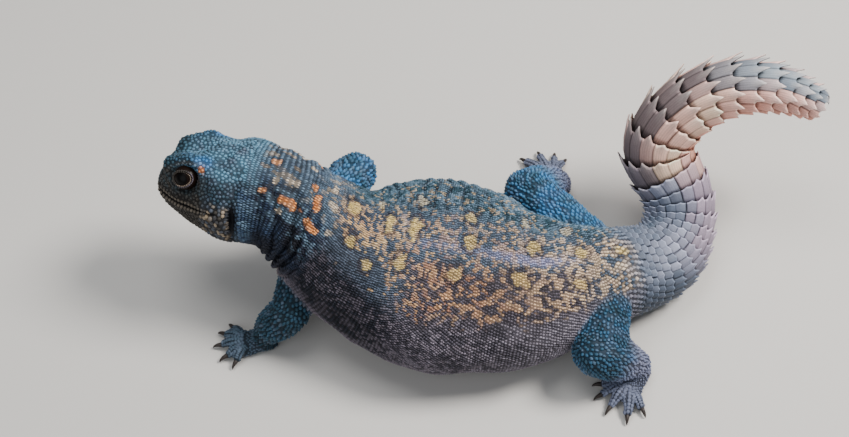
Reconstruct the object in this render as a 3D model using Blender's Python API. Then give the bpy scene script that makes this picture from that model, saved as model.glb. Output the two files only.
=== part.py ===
"""A life-size ornate uromastyx, resting on its belly with its chest, head and tail raised.

It faces -X, its left side is towards -Y and the floor is z = 0. Sizes are in millimetres and
become metres when a mesh is made. The body is one long surface round a spine line, measured
in millimetres from the tip of the snout, and it is parted into nodes across that line.
"""
import math
from collections import namedtuple

import bmesh
import bpy
import numpy as np
from mathutils import Matrix, Vector

MM = 0.001
GAP = 0.3  # clear space between neighbouring nodes

# Head: its sections lie ahead of its base, with their middles on the line of the mouth.
HEAD_BASE = (-63.0, -14.3, 53.0)
HEAD_YAW = 11.0
HEAD_PITCH = 0.0
HEAD_ROLL = 23.0
HeadSection = namedtuple("HeadSection", "ahead wide high low square")
HEAD = (
    HeadSection(38.0, 5.0, 7.4, 4.6, 2.3),
    HeadSection(33.5, 8.6, 11.4, 6.8, 2.3),
    HeadSection(27.5, 12.2, 16.0, 9.6, 2.4),
    HeadSection(19.0, 16.2, 19.4, 13.6, 2.5),
    HeadSection(9.5, 19.4, 20.6, 16.6, 2.5),
    HeadSection(0.0, 19.8, 19.8, 16.4, 2.3),
)
SNOUT_ROUND = 6.0

# Trunk and tail: the middle of each section, half its width, its height above and depth below.
Section = namedtuple("Section", "x y z wide high low square")
TRUNK = (
    Section(-56.5, -15.6, 52.0, 19.6, 19.4, 16.8, 2.2),
    Section(-49, -17.4, 47.5, 21.0, 19.2, 18.6, 2.1),
    Section(-41, -20, 41, 23.5, 19.5, 20.5, 2.1),
    Section(-29, -24.6, 32, 28.5, 20.5, 23.5, 2.1),
    Section(-9, -27.5, 25.5, 38.5, 23.5, 26.0, 2.1),
    Section(7, -29.5, 24, 41.5, 24.0, 26.0, 2.1),
    Section(22, -32, 23.5, 39.0, 23.5, 25.5, 2.1),
    Section(37, -33.5, 22.5, 34.5, 21.5, 24.0, 2.1),
    Section(52, -31.5, 21, 27.0, 19.5, 22.0, 2.1),
    Section(68, -27.5, 19.5, 20.5, 17.5, 20.0, 2.1),
)
TAIL = (
    Section(83, -21.5, 16.5, 17.5, 14.5, 17.5, 2.1),
    Section(94, -15.5, 15.5, 16.0, 12.5, 17.0, 2.1),
    Section(101, -4.5, 17.5, 14.6, 11.5, 14.5, 2.0),
    Section(101, 8.5, 26, 14.0, 11.0, 11.5, 2.0),
    Section(92.5, 19, 40.5, 13.8, 10.8, 10.8, 2.0),
    Section(100, 25.5, 55, 13.0, 10.3, 10.3, 2.0),
    Section(117, 28.5, 65, 11.5, 9.0, 9.0, 2.0),
    Section(136, 27.5, 66, 9.2, 7.6, 7.6, 2.0),
    Section(154.5, 23.5, 59.5, 5.6, 4.8, 4.8, 2.0),
)
TIP_ROUND = 4.0

# Where the body is parted, as distances from the snout tip along the spine line.
HEAD_END = 40.0
NECK_END = 61.0
ROLL_END = 80.0
BODY_AROUND = 48
TAIL_AROUND = 20

# The face, in the head's own measures: distance from the snout tip, across and above the mouth.
EYE_U = 15.0
EYE_ACROSS = 11.8
EYE_RISE = 10.2
EYE_RADIUS = 4.7
NOSTRIL = (4.8, 5.0, 5.4)
MOUTH_END = 29.5
EAR_U = 34.5
EAR_RISE = 3.0

# Tail whorls: rings of scales, each ending in spines. Pitch is given along the tail.
WHORLS_START = 189.4
WHORL_PITCH = ((189.4, 4.6), (220.0, 5.4), (246.0, 8.4), (274.0, 8.8), (300.0, 7.4), (325.0, 4.8))
WHORL_STEP = 0.07
SPINES_AROUND = ((189.4, 16), (220.0, 15), (246.0, 13), (300.0, 12))
SPINE_REACH = 0.44
SPINE_LIFT = 0.20
SPINE_ROOM = 3.6
SPINE_ROOT = 3.0
TAIL_PARTS = 4

# Limbs: root, knee or elbow, and ankle or wrist, each with its radius. The heading of the paw is
# in degrees from +X, seen from above, and a paw's sizes are its height and half its width.
Joint = namedtuple("Joint", "x y z radius")
Limb = namedtuple("Limb", "upper lower paw root bend end calf heading high wide toes")
FINGERS = (5.0, 7.0, 8.0, 7.0, 5.0)
TOES = (5.5, 8.0, 10.0, 10.5, 7.0)
LIMBS = (
    Limb("upper_arm_left", "forearm_left", "hand_left", Joint(-43, -24, 33, 10), Joint(-51, -45, 21, 7.6),
         Joint(-62, -46, 7, 5.0), 7.4, 190, 8.0, 6.2, FINGERS),
    Limb("upper_arm_right", "forearm_right", "hand_right", Joint(-38, -4, 34, 10), Joint(-27, 18, 27, 8.0),
         Joint(-37, 31, 7, 5.0), 7.6, 178, 8.0, 6.2, FINGERS),
    Limb("thigh_left", "shank_left", "foot_left", Joint(70, -30, 21, 12), Joint(65, -62, 20, 10),
         Joint(81, -60, 7, 5.6), 8.8, 238, 9.0, 7.0, TOES),
    Limb("thigh_right", "shank_right", "foot_right", Joint(64, -17, 21, 12), Joint(42, 12, 22, 10),
         Joint(56, 29, 7, 5.6), 8.8, 112, 9.0, 7.0, TOES),
)
LIMB_AROUND = 14
HEEL = 5.0
PALM = 9.0
TOE_SPREAD = (-58.0, -30.0, -4.0, 24.0, 54.0)
TOE_RADIUS = 1.9
CLAW_LENGTH = 3.6

COLOURS = {
    "head": (0.07, 0.17, 0.22), "neck": (0.06, 0.10, 0.16), "torso": (0.16, 0.14, 0.13),
    "tail_base": (0.24, 0.23, 0.27), "tail": (0.50, 0.34, 0.30), "eye": (0.015, 0.012, 0.010),
    "limb": (0.06, 0.15, 0.24), "foot": (0.13, 0.15, 0.19),
}


def head_direction():
    yaw, pitch = math.radians(HEAD_YAW), math.radians(HEAD_PITCH)
    flat = math.cos(pitch)
    return Vector((-math.cos(yaw) * flat, math.sin(yaw) * flat, math.sin(pitch)))


def all_sections():
    """Every section from snout to tail tip, each led by its distance along the spine line."""
    ahead = head_direction()
    sections = []
    for s in HEAD:
        place = Vector(HEAD_BASE) + ahead * s.ahead
        sections.append(Section(*place, s.wide, s.high, s.low, s.square))
    rows = []
    for s in sections + list(TRUNK) + list(TAIL):
        travelled = 0.0
        if rows:
            travelled = rows[-1][0] + math.dist(rows[-1][1:4], s[:3])
        rows.append((travelled, *s))
    return np.array(rows)


def smooth_slopes(knots, values):
    """Slopes at the knots that keep the curve's bending continuous, straight at both ends."""
    h = np.diff(knots)
    steps = np.diff(values, axis=0) / h[:, None]
    count = len(knots)
    system = np.zeros((count, count))
    target = np.zeros((count, values.shape[1]))
    system[0, :2] = 2, 1
    target[0] = 3 * steps[0]
    system[-1, -2:] = 1, 2
    target[-1] = 3 * steps[-1]
    for i in range(1, count - 1):
        system[i, i - 1:i + 2] = 1 / h[i - 1], 2 / h[i - 1] + 2 / h[i], 1 / h[i]
        target[i] = 3 * (steps[i - 1] / h[i - 1] + steps[i] / h[i])
    return np.linalg.solve(system, target)


ROWS = all_sections()
SLOPES = np.hstack([smooth_slopes(ROWS[:, 0], ROWS[:, 1:4]),
                    np.gradient(ROWS[:, 4:], ROWS[:, 0], axis=0)])
LENGTH = float(ROWS[-1][0])


def section_at(u):
    """The section at a distance from the snout, on a smooth curve through the named ones."""
    knots = ROWS[:, 0]
    k = min(max(int(np.searchsorted(knots, u)) - 1, 0), len(knots) - 2)
    span = knots[k + 1] - knots[k]
    f = (u - knots[k]) / span
    a, b = ROWS[k, 1:], ROWS[k + 1, 1:]
    da, db = SLOPES[k] * span, SLOPES[k + 1] * span
    value = (a * (2 * f ** 3 - 3 * f ** 2 + 1) + da * (f ** 3 - 2 * f ** 2 + f)
             + b * (3 * f ** 2 - 2 * f ** 3) + db * (f ** 3 - f ** 2))
    return Section(*value)


def middle(u):
    return Vector(section_at(u)[:3])


def tangent(u):
    return (middle(min(u + 0.5, LENGTH)) - middle(max(u - 0.5, 0.0))).normalized()


def carried_ups():
    """The up direction at each millimetre, carried without twist from the mid back."""
    count = int(LENGTH) + 2
    start = 115
    ups = [Vector((0, 0, 1))] * count
    for steps in (range(start, count), range(start, -1, -1)):
        up = Vector((0, 0, 1))
        for i in steps:
            t = tangent(min(i, LENGTH))
            up = (up - t * up.dot(t)).normalized()
            ups[i] = up
    return ups


UPS = carried_ups()


def head_roll(u):
    """How far the body is rolled there with its left side up: fully in the head, then less."""
    t = min(1.0, max(0.0, (ROLL_END - u) / (ROLL_END - HEAD_END)))
    return math.radians(HEAD_ROLL) * t * t * (3 - 2 * t)


def frame(u):
    """The middle, the tangent towards the tail, the side (the animal's left) and up."""
    i = min(int(u), len(UPS) - 2)
    t = tangent(u)
    up = UPS[i].lerp(UPS[i + 1], u - i)
    up = (up - t * up.dot(t)).normalized()
    up = Matrix.Rotation(-head_roll(u), 3, t) @ up
    return middle(u), t, t.cross(up), up


def bump(*offsets):
    """A smooth hill of height 1, by the distance from its middle in each direction."""
    return math.exp(-sum(offset * offset for offset in offsets))


def face_relief(u, across, rise):
    """How far the head's surface stands out at a place, in the head's own measures."""
    side = abs(across)
    out = 5.6 * bump((u - EYE_U - 1.2) / 9.0, (side - 10.8) / 4.0, (rise - 17.5) / 5.0)
    out -= 1.2 * bump((u - EYE_U - 2.0) / 9.5, side / 4.6, (rise - 19.0) / 5.5)
    eye = math.hypot((u - EYE_U) / 1.12, rise - EYE_RISE)
    if side > 5:
        out -= 1.7 * bump(eye / 7.0)
        out += 2.0 * bump((eye - 5.2) / 1.4)
    out += 1.4 * bump((u - 29.5) / 6.5, (side - 18.5) / 7.5, (rise - 0.5) / 6.5)
    nose, apart, lift = NOSTRIL
    out += 0.5 * bump((u - nose) / 2.6, (side - apart) / 2.0, (rise - lift) / 2.0)
    out -= 1.5 * bump((u - nose) / 1.0, (side - apart) / 1.5, (rise - lift) / 1.0)
    mouth = min(1.0, max(0.0, (MOUTH_END - u) / 3.0))
    out -= 0.8 * mouth * bump(rise / 0.6)
    out += 0.45 * mouth * bump((abs(rise) - 1.7) / 1.0)
    out -= 2.5 * bump((u - EAR_U) / 1.2, (rise - EAR_RISE) / 4.8)
    return out


def skin_folds(u, angle):
    """Folds across the neck and the shoulder, deeper low on the side, and along the far flank."""
    neck = bump((u - 51.0) / 9.5)
    out = 0.9 * neck * math.sin(2 * math.pi * u / 6.2 + 1.2 * math.sin(angle))
    flank = bump((u - 125.0) / 45.0) * max(0.0, -math.cos(angle)) ** 2 * max(0.0, math.sin(angle) + 0.4)
    out += 0.8 * flank * math.sin(2 * math.pi * u / 6.8)
    return out


def end_round(u):
    """The share of a section's size left where the snout and the tail tip round off."""
    if u < SNOUT_ROUND:
        return math.sqrt(max(0.0, 1 - (1 - u / SNOUT_ROUND) ** 2))
    if LENGTH - u < TIP_ROUND:
        return math.sqrt(max(0.0, 1 - (1 - (LENGTH - u) / TIP_ROUND) ** 2))
    return 1.0


def body_point(u, angle, grow=0.0, scale=1.0):
    """A point of the skin: angle 0 is the animal's left, a quarter turn is its back."""
    s = section_at(u)
    centre, _, side, up = frame(u)
    size = end_round(u) * scale
    c, q = math.cos(angle), math.sin(angle)
    across = s.wide * math.copysign(abs(c) ** (2 / s.square), c) * size
    rise = (s.high if q > 0 else s.low) * math.copysign(abs(q) ** (2 / s.square), q) * size
    out = grow
    if u < HEAD_END:
        fade = min(1.0, (HEAD_END - u) / 2.0) * min(1.0, u / 1.5)
        out += face_relief(u, across, rise) * fade
    elif u < WHORLS_START and grow == 0.0:
        fade = min(1.0, abs(u - HEAD_END) / 2.0, abs(u - NECK_END) / 2.0)
        out += skin_folds(u, angle) * fade
    reach = math.hypot(across, rise) or 1.0
    point = centre + (side * across + up * rise) * (1 + out / reach)
    if grow == 0.0:
        point.z = max(point.z, 0.0)
    return point


def body_ring(u, around, grow=0.0, scale=1.0, shift=0.0):
    """A ring of skin points, slid by shift along the spine line as a whole."""
    slide = frame(u)[1] * shift
    ring = [body_point(u, 2 * math.pi * i / around, grow, scale) + slide for i in range(around)]
    if shift:
        for point in ring:
            point.z = max(point.z, 0.0)
    return ring


def new_object(name, bm, colour, roughness=0.75):
    bmesh.ops.recalc_face_normals(bm, faces=bm.faces)
    mesh = bpy.data.meshes.new(name)
    bm.to_mesh(mesh)
    bm.free()
    mesh.shade_smooth()
    mesh.set_sharp_from_angle(angle=math.radians(40))
    obj = bpy.data.objects.new(name, mesh)
    bpy.context.scene.collection.objects.link(obj)
    if colour is not None:
        material = bpy.data.materials.new(name + "_skin")
        material.use_nodes = True
        shader = material.node_tree.nodes["Principled BSDF"]
        shader.inputs["Base Color"].default_value = (*colour, 1.0)
        shader.inputs["Roughness"].default_value = roughness
        shader.inputs["Metallic"].default_value = 0.0
        mesh.materials.append(material)
    return obj


def loft(name, rings, colour=None, roughness=0.75):
    """A closed solid through rings of equal count, with flat ends."""
    bm = bmesh.new()
    rows = [[bm.verts.new(point * MM) for point in ring] for ring in rings]
    count = len(rows[0])
    for a, b in zip(rows, rows[1:]):
        for i in range(count):
            j = (i + 1) % count
            bm.faces.new((a[i], a[j], b[j], b[i]))
    bm.faces.new(rows[0])
    bm.faces.new(rows[-1])
    bmesh.ops.triangulate(bm, faces=[f for f in bm.faces if len(f.verts) > 4])
    return new_object(name, bm, colour, roughness)


def pyramid(base, apex):
    """A closed spine: its root corners in order, and its tip."""
    bm = bmesh.new()
    corners = [bm.verts.new(point * MM) for point in base]
    tip = bm.verts.new(apex * MM)
    for i in range(len(corners)):
        bm.faces.new((corners[i], corners[(i + 1) % len(corners)], tip))
    bm.faces.new(corners)
    return new_object("spine", bm, None)


def apply_modifiers(obj):
    depsgraph = bpy.context.evaluated_depsgraph_get()
    mesh = bpy.data.meshes.new_from_object(obj.evaluated_get(depsgraph))
    obj.modifiers.clear()
    obj.data = mesh


def keep_largest(obj):
    """Keep the one closed surface with the most faces and drop the rest."""
    bm = bmesh.new()
    bm.from_mesh(obj.data)
    bm.faces.ensure_lookup_table()
    seen = set()
    shells = []
    for face in bm.faces:
        if face.index in seen:
            continue
        seen.add(face.index)
        shell, waiting = [], [face]
        while waiting:
            f = waiting.pop()
            shell.append(f)
            for edge in f.edges:
                for other in edge.link_faces:
                    if other.index not in seen:
                        seen.add(other.index)
                        waiting.append(other)
        shells.append(shell)
    shells.sort(key=len)
    loose = [f for shell in shells[:-1] for f in shell]
    bmesh.ops.delete(bm, geom=loose, context="FACES")
    bm.to_mesh(obj.data)
    bm.free()


def fuse(obj, pieces, solver="EXACT"):
    """Join the pieces to the object in one union."""
    group = bpy.data.collections.new(obj.name + "_pieces")
    bpy.context.scene.collection.children.link(group)
    for piece in pieces:
        bpy.context.scene.collection.objects.unlink(piece)
        group.objects.link(piece)
    union = obj.modifiers.new("union", "BOOLEAN")
    union.operation = "UNION"
    union.operand_type = "COLLECTION"
    union.collection = group
    union.solver = solver
    apply_modifiers(obj)
    for piece in pieces:
        bpy.data.objects.remove(piece)
    bpy.data.collections.remove(group)
    keep_largest(obj)


def cut(obj, cutter, solver="EXACT"):
    """Take the cutter's shape out of the object."""
    cutter.hide_render = True
    cutter.display_type = "WIRE"
    difference = obj.modifiers.new("cut", "BOOLEAN")
    difference.operation = "DIFFERENCE"
    difference.object = cutter
    difference.solver = solver
    apply_modifiers(obj)
    keep_largest(obj)


def ball(name, centre, radius, colour=None, segments=16, rings=8):
    bm = bmesh.new()
    bmesh.ops.create_uvsphere(bm, u_segments=segments, v_segments=rings, radius=radius * MM,
                              matrix=Matrix.Translation(centre * MM))
    return new_object(name, bm, colour, roughness=0.15)


def eye_centre(side):
    centre, _, left, up = frame(EYE_U)
    return centre + left * EYE_ACROSS * side + up * EYE_RISE


def make_head():
    steps = 26
    rings = [body_ring(0.06, BODY_AROUND)]
    for k in range(1, steps):
        rings.append(body_ring(HEAD_END * (1 - math.cos(0.5 * math.pi * k / steps)) ** 0.8, BODY_AROUND))
    rings.append(body_ring(HEAD_END, BODY_AROUND, shift=-GAP / 2))
    head = loft("head", rings, COLOURS["head"])
    for name, side in (("eye_left", 1), ("eye_right", -1)):
        socket = ball("socket", eye_centre(side), EYE_RADIUS + GAP)
        cut(head, socket)
        bpy.data.objects.remove(socket)
        ball(name, eye_centre(side), EYE_RADIUS, COLOURS["eye"])


def make_length(name, start, end, spacing, colour):
    """A plain stretch of neck or torso between two partings."""
    count = max(2, round((end - start) / spacing))
    rings = [body_ring(start, BODY_AROUND, shift=GAP / 2)]
    for k in range(1, count):
        rings.append(body_ring(start + (end - start) * k / count, BODY_AROUND))
    rings.append(body_ring(end, BODY_AROUND, shift=-GAP / 2))
    return loft(name, rings, colour)


def whorl_edges():
    """Where each whorl starts, and where the last one ends."""
    places = [row[0] for row in WHORL_PITCH]
    pitches = [row[1] for row in WHORL_PITCH]
    edges = [WHORLS_START]
    while edges[-1] < LENGTH - 6.0:
        edges.append(edges[-1] + float(np.interp(edges[-1], places, pitches)))
    edges[-1] = LENGTH - 2.5
    return edges


def tail_spines(edge, pitch):
    """The spines at the end of one whorl, on its back and sides, short where the tail bends in."""
    places, counts = zip(*SPINES_AROUND)
    count = round(float(np.interp(edge, places, counts)))
    s = section_at(edge)
    centre, along, _, _ = frame(edge)
    spines = []
    for i in range(count):
        angle = 2 * math.pi * (i + 0.5) / count
        surface = body_point(edge, angle)
        room = (body_point(min(edge + pitch, LENGTH - 1), angle) - surface).length
        if math.sin(angle) < -0.35 or room < SPINE_ROOM:
            continue
        half = math.pi / count * 0.80
        root = edge - min(SPINE_ROOT, 0.55 * pitch)
        base = [body_point(root, angle - half, scale=0.97), body_point(root, angle + half, scale=0.97),
                body_point(root, angle + half, scale=0.86), body_point(root, angle - half, scale=0.86)]
        outward = (surface - centre).normalized()
        size = 0.75 + 0.35 * abs(math.cos(angle))
        reach = min(room, 1.1 * pitch) * SPINE_REACH * size
        apex = surface + along * reach + outward * s.wide * SPINE_LIFT * size
        if apex.z < 1.0 or base[2].z < 0.6 or base[3].z < 0.6:
            continue
        spines.append(pyramid(base, apex))
    return spines


def make_tail(spined=True):
    """The tail in lengths, each a stack of whorls that widen towards their spined ends."""
    edges = whorl_edges()
    count = len(edges) - 1
    bounds = [round(count * part / TAIL_PARTS) for part in range(TAIL_PARTS + 1)]
    for part in range(TAIL_PARTS):
        first, last = bounds[part], bounds[part + 1]
        rings = []
        spines = []
        for k in range(first, last):
            start, end = edges[k], edges[k + 1]
            rings.append(body_ring(start, TAIL_AROUND, scale=1 - WHORL_STEP, shift=GAP / 2))
            rings.append(body_ring(end, TAIL_AROUND, shift=-GAP / 2 if k == last - 1 else 0.0))
            if spined and k < count - 1:
                spines += tail_spines(end - 0.4, end - start)
        if last == count:
            for step in (1.2, 1.9, 2.4):
                rings.append(body_ring(edges[-1] + step, TAIL_AROUND))
        colour = COLOURS["tail_base"] if part == 0 else COLOURS["tail"]
        tail = loft("tail_%d" % (part + 1), rings, colour)
        if spines:
            fuse(tail, spines, "MANIFOLD")


def tube(name, stations, around, colour=None):
    """A closed tube through (place, radius) stations along a line that isn't upright."""
    rings = []
    for k, (place, radius) in enumerate(stations):
        ahead = stations[min(k + 1, len(stations) - 1)][0] - stations[max(k - 1, 0)][0]
        side = ahead.cross(Vector((0, 0, 1))).normalized()
        up = side.cross(ahead.normalized())
        ring = []
        for i in range(around):
            angle = 2 * math.pi * i / around
            ring.append(place + side * radius * math.cos(angle) + up * radius * math.sin(angle))
        rings.append(ring)
    return loft(name, rings, colour)


def limb_length(name, start, belly, end, colour=None, grow=0.0):
    """A stretch of limb with a round end at each joint and a belly between them."""
    a, b = Vector(start[:3]), Vector(end[:3])
    along = (b - a).normalized()
    first, last = start.radius + grow, end.radius + grow
    stations = []
    for angle in (80, 52, 24):
        turn = math.radians(angle)
        stations.append((a - along * first * math.sin(turn), first * math.cos(turn)))
    stations += [(a, first), (a.lerp(b, 0.5), belly + grow), (b, last)]
    for angle in (24, 52, 80):
        turn = math.radians(angle)
        stations.append((b + along * last * math.sin(turn), last * math.cos(turn)))
    return tube(name, stations, LIMB_AROUND, colour)


def paw_axis(limb):
    turn = math.radians(limb.heading)
    return Vector((math.cos(turn), math.sin(turn), 0)), Vector((-math.sin(turn), math.cos(turn), 0))


def paw_body(name, limb, colour=None, grow=0.0):
    """The sole and back of a hand or foot, flat on the floor, from heel to palm."""
    ahead, left = paw_axis(limb)
    ankle = Vector((limb.end.x, limb.end.y, 0))
    profile = ((-HEEL - grow, 0.30, 0.45), (-HEEL * 0.6 - grow, 0.72, 0.86), (0.0, 0.86, 1.0),
               (PALM * 0.5, 0.92, 0.78), (PALM * 0.85, 1.0, 0.58), (PALM + 1.5 + grow, 0.72, 0.36))
    rings = []
    for place, wide, high in profile:
        half = limb.wide * wide + grow
        top = limb.high * high + grow
        centre = ankle + ahead * place + Vector((0, 0, 0.4 * top))
        ring = []
        for i in range(LIMB_AROUND):
            angle = 2 * math.pi * i / LIMB_AROUND
            point = centre + left * half * math.cos(angle)
            point.z += math.sin(angle) * top * (0.6 if math.sin(angle) > 0 else 0.5)
            if grow == 0.0:
                point.z = max(point.z, 0.0)
            ring.append(point)
        rings.append(ring)
    return loft(name, rings, colour)


def digits(limb):
    """Five digits fanned from the end of the palm, each with a hooked claw."""
    ahead, left = paw_axis(limb)
    palm = Vector((limb.end.x, limb.end.y, 0)) + ahead * PALM
    pieces = []
    for spread, length in zip(TOE_SPREAD, limb.toes):
        turn = math.radians(spread)
        way = ahead * math.cos(turn) + left * math.sin(turn)
        root = palm + left * limb.wide * 0.62 * math.sin(turn) - way * 1.5
        base = root + Vector((0, 0, 2.9))
        knuckle = root + way * (1.5 + length * 0.5) + Vector((0, 0, 3.4))
        end = root + way * (1.5 + length) + Vector((0, 0, 2.0))
        bend = end + way * CLAW_LENGTH * 0.5
        tip = end + way * CLAW_LENGTH - Vector((0, 0, 1.5))
        pieces.append(tube("digit", [(base, TOE_RADIUS * 1.15), (knuckle, TOE_RADIUS),
                                     (end, TOE_RADIUS * 0.65)], 6))
        pieces.append(tube("claw", [(end - way * 1.5, 0.95), (bend, 0.65), (tip, 0.2)], 4))
    return pieces


def make_limbs(body):
    """Each limb in three nodes, each shaped to clear the body and the node before it."""
    for limb in LIMBS:
        upper = limb_length(limb.upper, limb.root, (limb.root.radius + limb.bend.radius) / 2,
                            limb.bend, COLOURS["limb"])
        cut(upper, body, "MANIFOLD")
        lower = limb_length(limb.lower, limb.bend, limb.calf, limb.end, COLOURS["limb"])
        cut(lower, body, "MANIFOLD")
        above = limb_length("above", limb.root, (limb.root.radius + limb.bend.radius) / 2,
                            limb.bend, grow=GAP)
        below = paw_body("below", limb, grow=GAP)
        for cutter in (above, below):
            cut(lower, cutter, "MANIFOLD")
            bpy.data.objects.remove(cutter)
        paw = paw_body(limb.paw, limb, COLOURS["foot"])
        fuse(paw, digits(limb), "MANIFOLD")


def recentre():
    """Put the middle of the model's box over the origin, with its lowest point on the floor."""
    objects = [obj for obj in bpy.data.objects if obj.type == "MESH"]
    corners = np.array([v.co[:] for obj in objects for v in obj.data.vertices])
    low, high = corners.min(axis=0), corners.max(axis=0)
    move = Matrix.Translation((-(low[0] + high[0]) / 2, -(low[1] + high[1]) / 2, -low[2]))
    for obj in objects:
        obj.data.transform(move)


def main():
    for obj in list(bpy.data.objects):
        bpy.data.objects.remove(obj)
    make_head()
    make_length("neck", HEAD_END, NECK_END, 3.0, COLOURS["neck"])
    make_length("torso", NECK_END, WHORLS_START, 5.0, COLOURS["torso"])
    make_tail()
    clear = [body_ring(u, BODY_AROUND, grow=GAP + 0.9) for u in np.linspace(42.0, 206.0, 58)]
    keep_clear = loft("keep_clear", clear)
    make_limbs(keep_clear)
    bpy.data.objects.remove(keep_clear)
    recentre()


main()
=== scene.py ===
"""The looks of a life-size ornate uromastyx: its skin, scales, eyes and claws.

Sizes are in millimetres in the frame that the solids are drawn in, and become metres when a
mesh is made. The camera and the lights are placed in metres. A distance along the body, called
u, runs from the snout tip along the spine line.
"""
import math
from collections import namedtuple
from itertools import product

import bmesh
import bpy
import numpy as np
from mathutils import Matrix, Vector
from mathutils.bvhtree import BVHTree


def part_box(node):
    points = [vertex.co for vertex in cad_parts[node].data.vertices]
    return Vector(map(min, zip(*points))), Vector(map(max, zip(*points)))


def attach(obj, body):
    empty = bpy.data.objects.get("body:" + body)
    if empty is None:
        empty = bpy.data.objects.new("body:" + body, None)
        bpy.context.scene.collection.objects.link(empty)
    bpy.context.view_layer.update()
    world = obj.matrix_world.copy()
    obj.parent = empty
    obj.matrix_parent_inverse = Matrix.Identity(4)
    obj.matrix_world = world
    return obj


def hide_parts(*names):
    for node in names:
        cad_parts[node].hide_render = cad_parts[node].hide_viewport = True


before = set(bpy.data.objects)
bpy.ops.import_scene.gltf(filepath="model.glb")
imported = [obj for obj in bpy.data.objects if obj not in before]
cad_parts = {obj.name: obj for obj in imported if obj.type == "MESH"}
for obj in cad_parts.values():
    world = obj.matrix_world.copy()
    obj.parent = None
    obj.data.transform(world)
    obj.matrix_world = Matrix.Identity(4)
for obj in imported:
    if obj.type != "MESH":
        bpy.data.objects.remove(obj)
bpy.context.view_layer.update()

MM = 0.001

# The body's own measures, as in the solids. Each section of the head is placed by its distance
# ahead of the head's base, and the head's turn and roll are in degrees.
HEAD_BASE = (-63.0, -14.3, 53.0)
HEAD_YAW = 11.0
HEAD_ROLL = 23.0
HeadSection = namedtuple("HeadSection", "ahead wide high low square")
HEAD = (
    HeadSection(38.0, 5.0, 7.4, 4.6, 2.3),
    HeadSection(33.5, 8.6, 11.4, 6.8, 2.3),
    HeadSection(27.5, 12.2, 16.0, 9.6, 2.4),
    HeadSection(19.0, 16.2, 19.4, 13.6, 2.5),
    HeadSection(9.5, 19.4, 20.6, 16.6, 2.5),
    HeadSection(0.0, 19.8, 19.8, 16.4, 2.3),
)
SNOUT_ROUND = 6.0
Section = namedtuple("Section", "x y z wide high low square")
TRUNK = (
    Section(-56.5, -15.6, 52.0, 19.6, 19.4, 16.8, 2.2),
    Section(-49, -17.4, 47.5, 21.0, 19.2, 18.6, 2.1),
    Section(-41, -20, 41, 23.5, 19.5, 20.5, 2.1),
    Section(-29, -24.6, 32, 28.5, 20.5, 23.5, 2.1),
    Section(-9, -27.5, 25.5, 38.5, 23.5, 26.0, 2.1),
    Section(7, -29.5, 24, 41.5, 24.0, 26.0, 2.1),
    Section(22, -32, 23.5, 39.0, 23.5, 25.5, 2.1),
    Section(37, -33.5, 22.5, 34.5, 21.5, 24.0, 2.1),
    Section(52, -31.5, 21, 27.0, 19.5, 22.0, 2.1),
    Section(68, -27.5, 19.5, 20.5, 17.5, 20.0, 2.1),
)
TAIL = (
    Section(83, -21.5, 16.5, 17.5, 14.5, 17.5, 2.1),
    Section(94, -15.5, 15.5, 16.0, 12.5, 17.0, 2.1),
    Section(101, -4.5, 17.5, 14.6, 11.5, 14.5, 2.0),
    Section(101, 8.5, 26, 14.0, 11.0, 11.5, 2.0),
    Section(92.5, 19, 40.5, 13.8, 10.8, 10.8, 2.0),
    Section(100, 25.5, 55, 13.0, 10.3, 10.3, 2.0),
    Section(117, 28.5, 65, 11.5, 9.0, 9.0, 2.0),
    Section(136, 27.5, 66, 9.2, 7.6, 7.6, 2.0),
    Section(154.5, 23.5, 59.5, 5.6, 4.8, 4.8, 2.0),
)
TIP_ROUND = 4.0

# How far along the body the head ends, and where its roll has faded out.
HEAD_END = 40.0
ROLL_END = 80.0

# The tail's rings: where they start, their length and their count of plates, each by the
# distance along the body. Near the root they are finer than the solids' rings.
WHORLS_START = 189.4
RING_PITCH = ((189.4, 205.0, 226.0, 246.0, 274.0, 300.0, 325.0), (2.9, 3.9, 5.0, 8.2, 8.8, 7.4, 4.2))
RING_PLATES = ((194, 210, 230, 244, 296, 306, 335), (32, 26, 22, 15, 14, 12, 10))

# The face: distance from the snout tip, and across and above the line of the mouth.
EYE_U = 15.0
EYE_ACROSS = 11.8
EYE_RISE = 10.2
EYE_RADIUS = 4.7
NOSTRIL = (4.8, 5.0, 5.4)
ORANGE_MARK = (21.0, 14.8, 15.4)
MOUTH_END = 29.5
LIPS_END = 24.4
EAR_U = 34.0
EAR_RISE = -1.5

# Limbs: root, knee or elbow, and ankle or wrist, each with its radius, the radius of the calf or
# forearm, then the paw's heading in degrees from +X seen from above, its height, half its width,
# and the lengths of its digits. They are the left and right arm and the left and right leg.
Joint = namedtuple("Joint", "x y z radius")
Limb = namedtuple("Limb", "root bend end calf heading high wide toes")
FINGERS = (5.0, 7.0, 8.0, 7.0, 5.0)
TOES = (5.5, 8.0, 10.0, 10.5, 7.0)
LIMBS = (
    Limb(Joint(-43, -24, 33, 10), Joint(-51, -45, 21, 7.6), Joint(-62, -46, 7, 5.0),
         7.4, 190, 8.0, 6.2, FINGERS),
    Limb(Joint(-38, -4, 34, 10), Joint(-27, 18, 27, 8.0), Joint(-37, 31, 7, 5.0),
         7.6, 178, 8.0, 6.2, FINGERS),
    Limb(Joint(70, -30, 21, 12), Joint(65, -62, 20, 10), Joint(81, -60, 7, 5.6),
         8.8, 238, 9.0, 7.0, TOES),
    Limb(Joint(64, -17, 21, 12), Joint(42, 12, 22, 10), Joint(56, 29, 7, 5.6),
         8.8, 112, 9.0, 7.0, TOES),
)

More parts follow.
